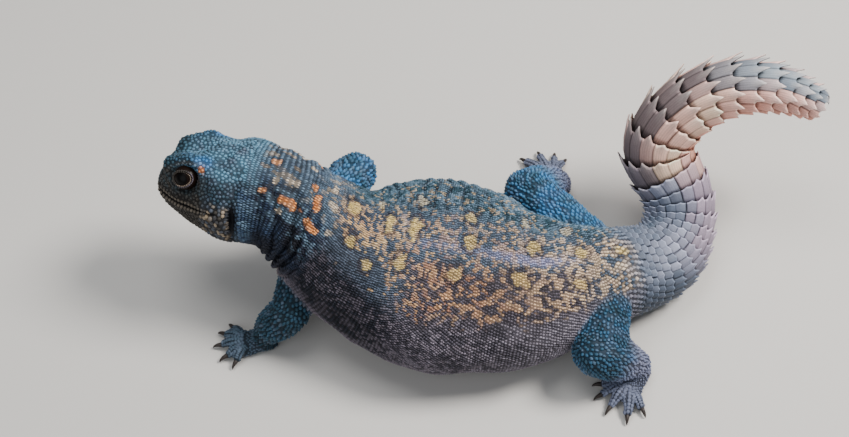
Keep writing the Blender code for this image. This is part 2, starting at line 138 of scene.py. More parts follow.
# How far the paw reaches behind the ankle and ahead of it, its cross sections by their place
# along it and their shares of its half width and height, and its digits' spread in degrees.
HEEL = 5.0
PALM = 9.0
PAW_PROFILE = ((-1.0, 0.30, 0.45), (-0.6, 0.72, 0.86), (0.0, 0.86, 1.0), (0.5, 0.92, 0.78),
               (0.85, 1.0, 0.58), (1.17, 0.72, 0.36))
TOE_SPREAD = (-58.0, -30.0, -4.0, 24.0, 54.0)
TOE_RADIUS = 1.9
CLAW_LENGTH = 3.6

# The skin lies inside the solids by the depth of the scales, and above the floor. It is made in
# voxels of this size, and then smoothed this many times, by these shares on the body and digits.
SKIN_DEPTH = 0.35
SKIN_FLOOR = 0.3
VOXEL = 0.7
SMOOTHING = 10
BODY_SMOOTH = 0.5
DIGIT_SMOOTH = 0.12

# How dark the skin is painted between the scales, as shade in the gaps, and round the lids, as a share
# of the marking.
GAP_PAINTED_SHADE = 0.34
LID_PAINTED_SHADE = 0.80


def head_direction():
    yaw = math.radians(HEAD_YAW)
    return np.array((-math.cos(yaw), math.sin(yaw), 0.0))


def section_rows():
    """Every section from snout to tail tip, each led by its distance along the spine line."""
    sections = []
    for s in HEAD:
        place = np.array(HEAD_BASE) + head_direction() * s.ahead
        sections.append((*place, s.wide, s.high, s.low, s.square))
    rows = []
    for s in sections + list(TRUNK) + list(TAIL):
        travelled = 0.0
        if rows:
            travelled = rows[-1][0] + math.dist(rows[-1][1:4], s[:3])
        rows.append((travelled, *s))
    return np.array(rows)


def smooth_slopes(knots, values):
    """Slopes at the knots that keep the curve's bending continuous, straight at both ends."""
    h = np.diff(knots)
    steps = np.diff(values, axis=0) / h[:, None]
    count = len(knots)
    system = np.zeros((count, count))
    target = np.zeros((count, values.shape[1]))
    system[0, :2] = 2, 1
    target[0] = 3 * steps[0]
    system[-1, -2:] = 1, 2
    target[-1] = 3 * steps[-1]
    for i in range(1, count - 1):
        system[i, i - 1:i + 2] = 1 / h[i - 1], 2 / h[i - 1] + 2 / h[i], 1 / h[i]
        target[i] = 3 * (steps[i - 1] / h[i - 1] + steps[i] / h[i])
    return np.linalg.solve(system, target)


ROWS = section_rows()
SLOPES = np.hstack([smooth_slopes(ROWS[:, 0], ROWS[:, 1:4]),
                    np.gradient(ROWS[:, 4:], ROWS[:, 0], axis=0)])
LENGTH = float(ROWS[-1][0])


def ramp(value, low, high):
    """A smooth rise from 0 at low to 1 at high."""
    t = np.clip((value - low) / (high - low), 0, 1)
    return t * t * (3 - 2 * t)


def fall(value, low, high):
    return 1 - ramp(value, low, high)


def whole_turn(count):
    """Equal steps once round, from angle 0."""
    return np.linspace(0, 2 * math.pi, count, endpoint=False)


def grid_of(first, second):
    """Every pair of a value of the first and one of the second, in two flat arrays."""
    return (grid.ravel() for grid in np.meshgrid(first, second, indexing="ij"))


def unit(vectors):
    return vectors / np.maximum(np.linalg.norm(vectors, axis=-1, keepdims=True), 1e-9)


def dot(a, b):
    return (a * b).sum(axis=-1)


def sections_at(u):
    """Rows of x, y, z, wide, high, low and square at distances along the spine line."""
    u = np.atleast_1d(np.asarray(u, float))
    knots = ROWS[:, 0]
    k = np.clip(np.searchsorted(knots, u) - 1, 0, len(knots) - 2)
    span = (knots[k + 1] - knots[k])[:, None]
    f = (u - knots[k])[:, None] / span
    a, b = ROWS[k, 1:], ROWS[k + 1, 1:]
    da, db = SLOPES[k] * span, SLOPES[k + 1] * span
    return (a * (2 * f ** 3 - 3 * f ** 2 + 1) + da * (f ** 3 - 2 * f ** 2 + f)
            + b * (3 * f ** 2 - 2 * f ** 3) + db * (f ** 3 - f ** 2))


def shapes_at(u):
    """The sections' half widths, heights above and below, and squareness."""
    return sections_at(u).T[3:]


def tangents(u):
    u = np.atleast_1d(np.asarray(u, float))
    ahead = sections_at(np.minimum(u + 0.5, LENGTH))[:, :3]
    return unit(ahead - sections_at(np.maximum(u - 0.5, 0.0))[:, :3])


def carried_ups():
    """The up direction at each millimetre, carried without twist from the mid back."""
    count = int(LENGTH) + 2
    start = 115
    along = tangents(np.minimum(np.arange(count), LENGTH))
    ups = np.zeros((count, 3))
    for steps in (range(start, count), range(start, -1, -1)):
        up = np.array((0.0, 0.0, 1.0))
        for i in steps:
            up = unit(up - along[i] * dot(up, along[i]))
            ups[i] = up
    return ups


UPS = carried_ups()


def spine_frames(u):
    """The middle, the direction towards the tail, the animal's left, and up, rolled at the head."""
    u = np.atleast_1d(np.asarray(u, float))
    i = np.minimum(u.astype(int), len(UPS) - 2)
    along = tangents(u)
    up = UPS[i] + (UPS[i + 1] - UPS[i]) * (u - i)[:, None]
    up = unit(up - along * dot(up, along)[:, None])
    roll = math.radians(HEAD_ROLL) * ramp(ROLL_END - u, 0.0, ROLL_END - HEAD_END)[:, None]
    up = up * np.cos(roll) - np.cross(along, up) * np.sin(roll)
    return sections_at(u)[:, :3], along, np.cross(along, up), up


def signed_power(value, power):
    return np.sign(value) * np.abs(value) ** power


def end_round(u):
    """The share of a section's size left where the snout and the tail tip round off."""
    snout = np.clip(1 - u / SNOUT_ROUND, 0, 1)
    tip = np.clip(1 - (LENGTH - u) / TIP_ROUND, 0, 1)
    return np.sqrt(1 - snout ** 2) * np.sqrt(1 - tip ** 2)


def body_points(u, angle, out=0.0):
    """Points this far out from the body: angle 0 is its left, and a quarter turn is its back."""
    u, angle = np.broadcast_arrays(np.atleast_1d(np.asarray(u, float)), angle)
    wide, high, low, square = shapes_at(u)
    centre, _, left, up = spine_frames(u)
    c, s = np.cos(angle), np.sin(angle)
    size = end_round(u)
    across = wide * signed_power(c, 2 / square) * size
    rise = np.where(s > 0, high, low) * signed_power(s, 2 / square) * size
    grow = 1 + out / np.maximum(np.hypot(across, rise), 0.5)
    return centre + left * (across * grow)[:, None] + up * (rise * grow)[:, None]


def bump(*offsets):
    """A smooth hill of height 1, by the distance from its middle in each direction."""
    return np.exp(-sum(offset * offset for offset in offsets))


def wobble(points, size, seed, waves=14):
    """Smooth noise, mostly between -1 and 1, that changes over about the given size."""
    draw = np.random.default_rng(seed)
    ways = unit(draw.normal(size=(waves, points.shape[1])))
    lengths = size * draw.uniform(1.2, 3.0, waves)
    phases = draw.uniform(0, 2 * math.pi, waves)
    waving = np.sin(points @ (ways * (2 * math.pi / lengths)[:, None]).T + phases)
    return waving.sum(axis=1) / waves ** 0.5


def cells(x, y, size, seed):
    """The number, from 0 to 1, of the nearest of a field of scattered points."""
    draw = np.random.default_rng(seed)
    table = draw.uniform(size=(64, 64, 3))
    gx, gy = np.floor(x / size).astype(int), np.floor(y / size).astype(int)
    best = np.full(len(x), 9.0)
    number = np.zeros(len(x))
    for i in (-1, 0, 1):
        for j in (-1, 0, 1):
            jitter = table[(gx + i) % 64, (gy + j) % 64]
            away = np.hypot(gx + i + jitter[:, 0] - x / size, gy + j + jitter[:, 1] - y / size)
            nearer = away < best
            best = np.where(nearer, away, best)
            number = np.where(nearer, jitter[:, 2], number)
    return number


# Where a point lies: along the spine line, across and above it and round it, then its nearest limb,
# how much it belongs to that limb, and how far along the limb it lies, from 0 to 3.
Places = namedtuple("Places", "point u across rise angle limb limbness reach")


def body_distance(u, across, rise):
    wide, high, low, square = shapes_at(u)
    size = np.maximum(end_round(u), 0.05)
    tall = np.where(rise > 0, high, low)
    share = np.abs(across / wide / size) ** square + np.abs(rise / tall / size) ** square
    share = share ** (1 / square)
    return np.hypot(across, rise) * (1 - 1 / np.maximum(share, 0.05))


def angle_at(u, across, rise):
    wide, high, low, square = shapes_at(u)
    tall = np.where(rise > 0, high, low)
    return np.arctan2(signed_power(rise / tall, square / 2), signed_power(across / wide, square / 2))


def paw_axis(limb):
    turn = math.radians(limb.heading)
    return np.array((math.cos(turn), math.sin(turn), 0)), np.array((-math.sin(turn), math.cos(turn), 0))


def limb_segments(limb):
    """The limb's three stretches as (start, end, start radius, end radius)."""
    root, bend, end = (np.array(joint[:3], float) for joint in (limb.root, limb.bend, limb.end))
    ahead, _ = paw_axis(limb)
    ankle = np.array((limb.end.x, limb.end.y, limb.high * 0.4))
    palm = ankle + ahead * (PALM + 7)
    palm[2] = 2.5
    return ((root, bend, limb.root.radius, limb.bend.radius),
            (bend, end, limb.bend.radius, limb.end.radius),
            (ankle - ahead * HEEL * 0.4, palm, limb.wide * 0.8, limb.wide * 0.8))


def limb_distances(points):
    """For each point: the nearest limb, the distance to its surface, and how far along it lies."""
    best = np.full(len(points), 1e3)
    which = np.zeros(len(points), int)
    reach = np.zeros(len(points))
    for index, limb in enumerate(LIMBS):
        for part, (a, b, first, last) in enumerate(limb_segments(limb)):
            along = b - a
            t = np.clip((points - a) @ along / (along @ along), 0, 1)
            away = np.linalg.norm(points - a - t[:, None] * along, axis=1) - first - (last - first) * t
            nearer = away < best
            best = np.where(nearer, away, best)
            which = np.where(nearer, index, which)
            reach = np.where(nearer, part + t, reach)
    return which, best, reach


# How many points are matched with the spine line at once.
BLOCK = 5000


def locate(points):
    """The places of points, from the nearest whole millimetre of the spine line and then closer."""
    marks = np.arange(0, LENGTH, 1.0)
    middles = sections_at(marks)[:, :3]
    u = np.empty(len(points))
    for first in range(0, len(points), BLOCK):
        block = points[first:first + BLOCK]
        apart = dot(block, block)[:, None] - 2 * block @ middles.T + dot(middles, middles)[None]
        u[first:first + BLOCK] = marks[apart.argmin(axis=1)]
    for _ in range(5):
        centre, along, left, up = spine_frames(u)
        u = np.clip(u + np.clip(0.7 * dot(points - centre, along), -1, 1), 0, LENGTH)
    centre, along, left, up = spine_frames(u)
    across, rise = dot(points - centre, left), dot(points - centre, up)
    limb, near_limb, reach = limb_distances(points)
    limbness = ramp(body_distance(u, across, rise) - near_limb, -1.0, 1.5)
    return Places(points, u, across, rise, angle_at(u, across, rise), limb, limbness, reach)


# Building meshes.
def shift_to_world():
    """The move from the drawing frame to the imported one, in metres, read off the left eye."""
    low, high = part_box("eye_left")
    centre, _, left, up = (row[0] for row in spine_frames(EYE_U))
    eye = centre + left * EYE_ACROSS + up * EYE_RISE
    return np.array((low + high) / 2) - eye * MM


SHIFT = shift_to_world()


def add_object(name, data):
    obj = bpy.data.objects.new(name, data)
    bpy.context.scene.collection.objects.link(obj)
    return obj


def add_mesh(name, points, faces):
    """A mesh object from points in millimetres and faces of equal size in an array, or a list."""
    mesh = bpy.data.meshes.new(name)
    if isinstance(faces, np.ndarray):
        mesh.vertices.add(len(points))
        mesh.vertices.foreach_set("co", (points * MM + SHIFT).astype(np.float32).ravel())
        mesh.loops.add(faces.size)
        mesh.loops.foreach_set("vertex_index", faces.astype(np.int32).ravel())
        mesh.polygons.add(len(faces))
        starts = np.arange(0, faces.size, faces.shape[1], dtype=np.int32)
        mesh.polygons.foreach_set("loop_start", starts)
        mesh.update(calc_edges=True)
    else:
        mesh.from_pydata((points * MM + SHIFT).tolist(), [], faces)
    mesh.shade_smooth()
    return add_object(name, mesh)


def read_rows(items, name, width, kind=np.float32):
    flat = np.empty(len(items) * width, kind)
    items.foreach_get(name, flat)
    return flat.reshape(-1, width)


def read_points(mesh):
    return (read_rows(mesh.vertices, "co", 3) - SHIFT) / MM


def write_points(mesh, points):
    mesh.vertices.foreach_set("co", (points * MM + SHIFT).astype(np.float32).ravel())
    mesh.update()


def read_normals(mesh):
    return read_rows(mesh.vertex_normals, "vector", 3).astype(float)


def paint_points(mesh, colours):
    layer = mesh.color_attributes.new("Marking", "FLOAT_COLOR", "POINT")
    filled = np.ones((len(colours), 4), np.float32)
    filled[:, :3] = colours
    layer.data.foreach_set("color", filled.ravel())


def shell(rings):
    """Points and faces of a closed tube through rings of equal count."""
    around = len(rings[0])
    last = (len(rings) - 1) * around
    faces = []
    for start in range(0, last, around):
        for i in range(around):
            j = (i + 1) % around
            faces.append((start + i, start + j, start + around + j, start + around + i))
    faces.append(tuple(range(around - 1, -1, -1)))
    faces.append(tuple(range(last, last + around)))
    return np.vstack(rings), faces


def joined(shells):
    """The points and faces of several shells as those of one mesh."""
    points, faces, count = [], [], 0
    for shell_points, shell_faces in shells:
        points.append(shell_points)
        faces += [tuple(i + count for i in face) for face in shell_faces]
        count += len(shell_points)
    return np.vstack(points), faces


def tube_rings(places, radii, around=20):
    """Rings square to a line through the places, which isn't upright."""
    places = np.array(places, float)
    turns = whole_turn(around)
    rings = []
    for k, (place, radius) in enumerate(zip(places, radii)):
        ahead = unit(places[min(k + 1, len(places) - 1)] - places[max(k - 1, 0)])
        side = unit(np.cross(ahead, (0, 0, 1)))
        up = np.cross(side, ahead)
        rings.append(place + radius * (np.outer(np.cos(turns), side) + np.outer(np.sin(turns), up)))
    return rings


def limb_shell(start, belly, end):
    """A limb's stretch with round ends and a middle of its own radius."""
    a, b = np.array(start[:3], float), np.array(end[:3], float)
    along = unit(b - a)
    first, last = start.radius - SKIN_DEPTH, end.radius - SKIN_DEPTH
    places, radii = [], []
    turns = np.radians((85, 68, 50, 32, 15))
    for turn in turns:
        places.append(a - along * first * math.sin(turn))
        radii.append(first * math.cos(turn))
    bulge = belly - SKIN_DEPTH - (first + last) / 2
    for t in np.linspace(0, 1, 13):
        places.append(a + (b - a) * t)
        radii.append(first + (last - first) * t + bulge * math.sin(math.pi * t))
    for turn in turns[::-1]:
        places.append(b + along * last * math.sin(turn))
        radii.append(last * math.cos(turn))
    return shell(tube_rings(places, radii))


def paw_shell(limb):
    ahead, left = paw_axis(limb)
    ankle = np.array((limb.end.x, limb.end.y, 0.0))
    turns = whole_turn(24)
    rings = []
    for place, wide, high in PAW_PROFILE:
        half = limb.wide * wide - SKIN_DEPTH
        top = limb.high * high - SKIN_DEPTH
        centre = ankle + ahead * place * (HEEL if place < 0 else PALM)
        lift = 0.4 * top + np.sin(turns) * top * np.where(np.sin(turns) > 0, 0.6, 0.5)
        ring = centre + np.outer(np.cos(turns) * half, left)
        ring[:, 2] = np.maximum(lift, SKIN_FLOOR)
        rings.append(ring)
    return shell(rings)


Digit = namedtuple("Digit", "way base knuckle end")


def digits():
    """Every finger and toe: its direction seen from above, and its base, knuckle and end."""
    found = []
    for limb in LIMBS:
        ahead, left = paw_axis(limb)
        palm = np.array((limb.end.x, limb.end.y, 0.0)) + ahead * PALM
        for spread, length in zip(TOE_SPREAD, limb.toes):
            turn = math.radians(spread)
            way = ahead * math.cos(turn) + left * math.sin(turn)
            root = palm + left * limb.wide * 0.62 * math.sin(turn) - way * 1.5
            found.append(Digit(way, root + (0, 0, 2.9),
                               root + way * (1.5 + length * 0.5) + (0, 0, 3.4),
                               root + way * (1.5 + length) + (0, 0, 2.0)))
    return found


DIGITS = digits()


def digit_line(digit, t):
    """A point on a digit's arched middle line, from its base to its end."""
    return (digit.base * (1 - t) ** 2 + 2 * digit.knuckle * t * (1 - t) + digit.end * t ** 2
            + np.array((0, 0, 0.7)) * math.sin(math.pi * t))


def digit_shell(digit):
    steps = np.linspace(0, 1, 10)
    places = [digit_line(digit, t) for t in steps]
    radii = [TOE_RADIUS * (1.12 - 0.38 * t) * (1 + 0.09 * math.cos(2 * math.pi * t * 2)) for t in steps]
    places.append(places[-1] + digit.way * 0.7 - np.array((0, 0, 0.25)))
    radii.append(TOE_RADIUS * 0.35)
    return shell(tube_rings(places, radii, 12))


def body_shell():
    turns = whole_turn(96)
    snout = SNOUT_ROUND * (1 - np.cos(np.linspace(0.1, math.pi / 2, 10)))
    tip = LENGTH - TIP_ROUND * (1 - np.cos(np.linspace(math.pi / 2, 0.1, 6)))
    stations = np.concatenate([snout, np.arange(SNOUT_ROUND + 1, LENGTH - TIP_ROUND - 1, 1.5), tip])
    rings = []
    for u in stations:
        out = -SKIN_DEPTH - 0.75 * ramp(u, WHORLS_START - 4, WHORLS_START + 4)
        ring = body_points(u, turns, out)
        ring[:, 2] = np.maximum(ring[:, 2], SKIN_FLOOR)
        rings.append(ring)
    return shell(rings)


def all_shells():
    shells = [body_shell()]
    for limb in LIMBS:
        upper = (limb.root.radius + limb.bend.radius) / 2
        shells.append(limb_shell(limb.root, upper, limb.bend))
        shells.append(limb_shell(limb.bend, limb.calf, limb.end))
        shells.append(paw_shell(limb))
    return shells + [digit_shell(digit) for digit in DIGITS]


def applied(obj):
    depsgraph = bpy.context.evaluated_depsgraph_get()
    mesh = bpy.data.meshes.new_from_object(obj.evaluated_get(depsgraph))
    obj.modifiers.clear()
    obj.data = mesh


def relax(points, ends, rounds, weights):
    """Move each point towards the mean of its neighbours, by its own weight, a few times."""
    count = len(points)
    both = np.vstack([ends, ends[:, ::-1]])
    neighbours = np.bincount(both[:, 0], minlength=count)[:, None]
    for _ in range(rounds):
        total = np.stack([np.bincount(both[:, 0], points[both[:, 1], axis], count)
                          for axis in range(3)], axis=1)
        points = points + (total / np.maximum(neighbours, 1) - points) * weights[:, None]
    return points


def refine(mesh, chosen):
    """Split every edge between chosen points once."""
    bm = bmesh.new()
    bm.from_mesh(mesh)
    bm.verts.ensure_lookup_table()
    edges = [e for e in bm.edges if chosen[e.verts[0].index] and chosen[e.verts[1].index]]
    bmesh.ops.subdivide_edges(bm, edges=edges, cuts=1, use_grid_fill=True)
    bmesh.ops.triangulate(bm, faces=[f for f in bm.faces if len(f.verts) > 4])
    bm.to_mesh(mesh)
    bm.free()


# Half the length and height of the eye's opening, and its slant.
LID_LONG = 3.15
LID_TALL = 2.4
LID_TILT = math.radians(12)


def eye_frame(side):
    """The eye's centre, and its outward, backward and upward directions."""
    centre, along, left, up = (row[0] for row in spine_frames(EYE_U))
    centre = centre + left * EYE_ACROSS * side + up * EYE_RISE
    out = unit(left * side * 0.95 + up * 0.26 - along * 0.16)
    back = unit(along - out * dot(along, out))
    rise = np.cross(out, back) * side
    turned = back * math.cos(LID_TILT) + rise * math.sin(LID_TILT)
    return centre, out, turned, rise * math.cos(LID_TILT) - back * math.sin(LID_TILT)


def lid_measure(points, side):
    """How far each point lies from the middle of the eye's opening: 1 is the lids' edge."""
    centre, out, back, rise = eye_frame(side)
    away = points - centre
    x, y = away @ back, away @ rise
    tall = LID_TALL * (1 - 0.16 * np.clip(np.abs(x / LID_LONG), 0, 1) ** 2)
    return np.where(away @ out > 0.2, np.hypot(x / LID_LONG, y / tall), 9.0)


def near_lids(points):
    """The same from the nearer eye."""
    return np.minimum(lid_measure(points, 1), lid_measure(points, -1))


def shape_lids(points):
    """Draw the skin round the eye into lids that lie on the eyeball."""
    for side in (1, -1):
        centre = eye_frame(side)[0]
        away = np.linalg.norm(points - centre, axis=1)
        measure = lid_measure(points, side)
        near = away < 3 * EYE_RADIUS
        lid = EYE_RADIUS + 0.40 + 0.16 * np.sin(math.pi * np.clip((measure - 1.15) / 0.3, 0, 1)) ** 2
        target = np.where(measure < 1.0, EYE_RADIUS - 0.8, lid)
        target = np.where((measure >= 1.0) & (measure < 1.12),
                          EYE_RADIUS - 0.8 + (measure - 1.0) / 0.12 * 1.22, target)
        weight = fall(measure, 1.36, 1.66) * near
        moved = centre + unit(points - centre) * target[:, None]
        points = points + (moved - points) * weight[:, None]
    return points


def mouth_rise(u):
    """The height of the mouth line, which dips behind the snout and turns up at the corner."""
    return -0.5 * bump((u - 12) / 6.0) + 0.9 * ramp(u, 20.0, MOUTH_END)


def brow_ridge(u):
    """The height of the ridge over the eye."""
    return 16.9 - 0.036 * (u - 19.0) ** 2


def from_mark(places, mark, long=1.0, tall=1.0):
    """Distance from a mark on each side of the head, given along, across and above the mouth."""
    u, across, rise = mark
    return np.sqrt(((places.u - u) / long) ** 2 + (np.abs(places.across) - across) ** 2
                   + ((places.rise - rise) / tall) ** 2)


def face_relief(places):
    """How far the skin stands out at the brows, eyes, cheeks, nostrils, mouth and ears."""
    u, side, rise = places.u, np.abs(places.across), places.rise
    wide, high, _, _ = shapes_at(u)
    flank = ramp(side, 3.0, 7.0)
    tall = 6.2 - 0.33 * (u - EYE_U)
    out = tall * bump(((u - EYE_U - 0.2) / 8.7) ** 2, (side - 0.76 * wide) / 4.0, (rise - high) / 5.0)
    out -= 2.2 * bump((u - EYE_U - 1.0) / 9.0, side / 4.8, (rise - 18.0) / 5.5)
    out -= 1.7 * bump((u - 28.0) / 3.6, (side - 9.0) / 7.0, (rise - 19.5) / 5.0)
    out += 1.3 * bump((u - 36.5) / 4.6, side / 15.0, (rise - 18.0) / 7.0)
    above = rise - brow_ridge(u)
    out += 1.5 * bump((u - 15.5) / 6.5, (above + 1.6) / 1.1) * flank
    out -= 0.7 * bump((u - 15.5) / 5.5, (above + 3.9) / 1.0) * flank
    eye = np.hypot((u - EYE_U) / 1.12, rise - EYE_RISE)
    out -= 1.7 * bump(eye / 7.0) * flank
    out += 0.9 * bump((eye - 6.3) / 1.1) * flank
    out += 1.6 * bump((u - 29.0) / 6.5, (side - 18.5) / 7.5, (rise + 1.0) / 6.5)
    out += 1.0 * bump((u - 27.5) / 3.5, (rise - 11.0) / 3.5) * flank
    out -= 0.9 * bump((u - 24.5) / 1.6, (rise - 5.5) / 4.5) * flank
    nostril = from_mark(places, NOSTRIL, 1.1, 0.9)
    out += 0.6 * bump((nostril - 1.4) / 0.8) - 1.8 * bump(nostril / 0.8)
    mouth = ramp(MOUTH_END - u, 0.0, 2.5)
    gap = rise - mouth_rise(u)
    out -= 1.1 * mouth * bump(gap / 0.45)
    out += 0.5 * mouth * bump((np.abs(gap) - 1.5) / 0.9)
    out -= 3.0 * bump((u - EAR_U) / 1.5, (rise - EAR_RISE) / 6.5) * flank
    out += 0.9 * bump((u - EAR_U + 2.9) / 1.3, (rise - EAR_RISE) / 6.0) * flank
    out -= 1.0 * bump((u - EAR_U - 0.6) / 1.5, (rise - 11.5) / 4.0) * flank
    out += 0.22 * wobble(places.point, 5.0, 9)
    fade = ramp(HEAD_END + 3 - u, 0.0, 4.0) * ramp(u, 0.2, 1.5)
    return out * fade


def neck_folds(places):
    """Where the neck's folds lie: 1 in the groove between two of them, and how deep they are."""
    u, rise, point = places.u, np.sin(places.angle), places.point
    shifted = u + 6.0 * rise + 0.8 * wobble(point, 7.0, 3)
    groove = 1 - np.abs(np.sin(math.pi * shifted / 4.8)) ** 0.7
    return groove, bump((shifted - 53.5) / 10.5) * (1 - 0.72 * np.clip(rise, 0, 1) ** 2)


def far_wrinkles(places):
    """Wrinkles on the right of the back: 1 in the groove between two, and how deep they are."""
    u, angle, point = places.u, places.angle, places.point
    slant = (3.0 + 0.22 * np.clip(u - 105, 0, 60)) * np.clip(-np.cos(angle), -0.2, 1)
    groove = 1 - np.abs(np.sin(math.pi * (u + slant + 1.7 * wobble(point, 9.0, 5)) / 5.9)) ** 0.7
    far = ramp(-np.cos(angle), 0.02, 0.42) * ramp(np.sin(angle), -0.5, 0.0)
    uneven = 0.75 + 0.25 * wobble(point, 12.0, 15)
    return groove, far * bump((u - 112.0) / 42.0) * np.clip(uneven, 0, 1)


def fold_relief(places):
    """Deep folds round the neck, wrinkles on the flanks, and fine lines along the back."""
    u, angle, point = places.u, places.angle, places.point
    groove, depth = neck_folds(places)
    out = 3.2 * depth * (0.35 - groove)
    groove, depth = far_wrinkles(places)
    out += 1.6 * depth * (0.2 - groove)
    near = ramp(np.cos(angle), 0.25, 0.7) * ramp(np.sin(angle), -0.3, 0.2)
    phase = math.pi * (u + 10.0 * np.cos(angle) + 1.5 * wobble(point, 9.0, 6)) / 5.6
    out -= near * bump((u - 176.0) / 10.0) * 0.6 * (1 - np.abs(np.sin(phase)) ** 0.7)
    lines = np.cos(2 * math.pi * (places.across + 0.8 * wobble(point, 7.0, 3)) / 3.1)
    out += 0.30 * lines * bump(places.across / 5.5, (u - 148.0) / 42.0) * (np.sin(angle) > 0)
    out += 0.35 * wobble(point, 6.0, 8) * ramp(u, 40, 60) * ramp(WHORLS_START - u, 0, 12)
    return out * ramp(u, HEAD_END - 3, HEAD_END + 3) * ramp(WHORLS_START - u, 0.0, 6.0)


def make_skin():
    """One skin over the body and limbs, with the face and the folds worked into it."""
    skin = add_mesh("skin", *joined(all_shells()))
    remesh = skin.modifiers.new("one_surface", "REMESH")
    remesh.mode = "VOXEL"
    remesh.voxel_size = VOXEL * MM
    applied(skin)
    mesh = skin.data
    points = read_points(mesh)
    ends = read_rows(mesh.edges, "vertices", 2, np.int32)
    slim = np.full(len(points), BODY_SMOOTH)
    for digit in DIGITS:
        close = np.linalg.norm(points - digit.knuckle, axis=1) < np.linalg.norm(digit.end - digit.base)
        slim[close & (points[:, 2] < 6)] = DIGIT_SMOOTH
    points = relax(points, ends, SMOOTHING, slim)
    write_points(mesh, points)
    places = locate(points)
    refine(mesh, (places.u < HEAD_END + 3) & (places.limbness < 0.5))
    points = read_points(mesh)
    places = locate(points)
    face = (places.u < HEAD_END + 3) & (places.limbness < 0.5)
    points = relax(points, read_rows(mesh.edges, "vertices", 2, np.int32), 4, BODY_SMOOTH * face)
    write_points(mesh, points)
    normals = read_normals(mesh)
    body = 1 - places.limbness
    limb_relief = 0.3 * wobble(points, 5.0, 12)
    out = (face_relief(places) + fold_relief(places)) * body + limb_relief * places.limbness
    points = points + normals * out[:, None]
    points = shape_lids(points)
    points[:, 2] = np.maximum(points[:, 2], SKIN_FLOOR)
    write_points(mesh, points)
    mesh.shade_smooth()
    return skin


# Colours and markings.
def colour(red, green, blue):
    """A colour given in 0 to 255 for the screen, as light."""
    screen = np.array((red, green, blue)) / 255
    return np.where(screen < 0.04045, screen / 12.92, ((screen + 0.055) / 1.055) ** 2.4)


NIGHT = colour(30, 32, 42)
NAVY = colour(46, 62, 88)
STEEL = colour(98, 122, 142)
SLATE = colour(88, 100, 118)
TEAL = colour(92, 138, 164)
DEEP_TEAL = colour(38, 64, 76)
INK_TEAL = colour(24, 46, 56)
SKY = colour(56, 118, 172)
BLUE = colour(62, 108, 142)
PLUM = colour(62, 50, 54)
LILAC = colour(152, 152, 192)
DUSK = colour(96, 88, 98)
ASH = colour(128, 122, 134)
OCHRE = colour(186, 146, 110)
RUST = colour(142, 102, 84)
SANDY = colour(178, 156, 126)
YELLOW = colour(204, 178, 104)
ORANGE = colour(226, 140, 78)
CREAM = colour(214, 196, 172)
UMBER = colour(58, 54, 50)
BELLY = colour(140, 128, 128)
PINK = colour(246, 194, 180)
SALMON = colour(224, 154, 136)
SAND = colour(250, 220, 190)
MAUVE = colour(146, 120, 116)
MIST = colour(140, 150, 160)
PALE = colour(236, 226, 218)
TAIL_GREY = colour(150, 154, 174)
ROSE_GREY = colour(168, 150, 168)

# How much painted sunlight falls on each limb, against painted shade, in the order of LIMBS, and the
# first of them that is a leg.
LIMB_PAINTED_LIGHT = (0.12, 0.95, 0.34, 0.85)
FIRST_LEG = 2

# Where along the body the markings pass from one part's to the next one's.
TO_NECK = (38, 42)
TO_TRUNK = (58, 68)
TO_TAIL = (179, 192)
TO_PINK = (240, 250)
DARKEST = 0.002

# Spots: distance along the body, angle round it, and half their length and width.
Spot = namedtuple("Spot", "u angle long wide")
YELLOW_SPOTS = (
    Spot(67.7, 1.61, 2.8, 2.6), Spot(72.4, 1.16, 2.6, 2.2), Spot(89.5, 1.66, 2.6, 2.8),
    Spot(84.0, 1.02, 2.2, 2.0), Spot(98.2, 1.23, 2.8, 2.6), Spot(103.0, 1.65, 2.8, 3.2),
    Spot(104.6, 1.98, 2.0, 2.4), Spot(123.1, 1.21, 2.6, 2.6), Spot(126.8, 1.56, 2.2, 2.2),
    Spot(125.6, 1.86, 2.0, 2.2), Spot(144.8, 1.25, 2.6, 2.6), Spot(149.8, 1.64, 2.4, 2.0),
    Spot(147.0, 2.00, 2.0, 2.2), Spot(164.7, 1.09, 2.4, 2.2), Spot(168.6, 1.58, 2.4, 2.0),
    Spot(166.0, 2.02, 2.0, 2.0), Spot(183.1, 1.57, 2.2, 1.8), Spot(82.0, 2.00, 2.2, 2.2),
)
ORANGE_SPOTS = (
    Spot(47.4, 0.64, 2.5, 1.9), Spot(56.4, 0.62, 3.4, 1.9), Spot(54.0, 1.02, 1.3, 3.2),
    Spot(41.8, 0.66, 0.8, 1.3), Spot(42.8, 1.37, 1.0, 1.5), Spot(51.5, 1.30, 0.9, 2.0),
    Spot(47.6, 2.42, 2.6, 1.8), Spot(56.0, 2.56, 3.0, 1.9), Spot(52.5, 2.10, 1.2, 2.6),
)
BEIGE_SPOTS = (Spot(46.4, 1.06, 1.4, 1.5), Spot(43.8, 0.96, 0.6, 2.2), Spot(46.0, 0.40, 0.9, 1.3),
               Spot(60.0, 1.25, 2.0, 1.8), Spot(58.5, 1.62, 1.4, 1.8), Spot(63.0, 0.86, 1.8, 1.6),
               Spot(47.0, 2.04, 1.6, 1.6), Spot(50.0, 1.66, 0.8, 1.6))


def mix(a, b, weight):
    return a + (b - a) * np.clip(np.asarray(weight), 0, 1)[..., None]


def layered(base, *layers):
    """The base with each tone laid over it in turn, by its weight."""
    for tone, weight in layers:
        base = mix(base, tone, weight)
    return base


def arc(places):
    """Distance from the middle of the back, measured round the body."""
    wide, high, _, _ = shapes_at(places.u)
    turn = (places.angle - math.pi / 2 + math.pi) % (2 * math.pi) - math.pi
    return turn * (wide + high) / 2


def spot_distance(places, spots):
    """Distance from the nearest listed spot, where 1 is its rim."""
    side = arc(places)
    best = np.full(len(side), 9.0)
    for spot in spots:
        wide, high, _, _ = shapes_at(spot.u)
        there = (spot.angle - math.pi / 2) * (wide + high) / 2
        best = np.minimum(best, np.hypot((places.u - spot.u) / spot.long, (side - there) / spot.wide))
    return best


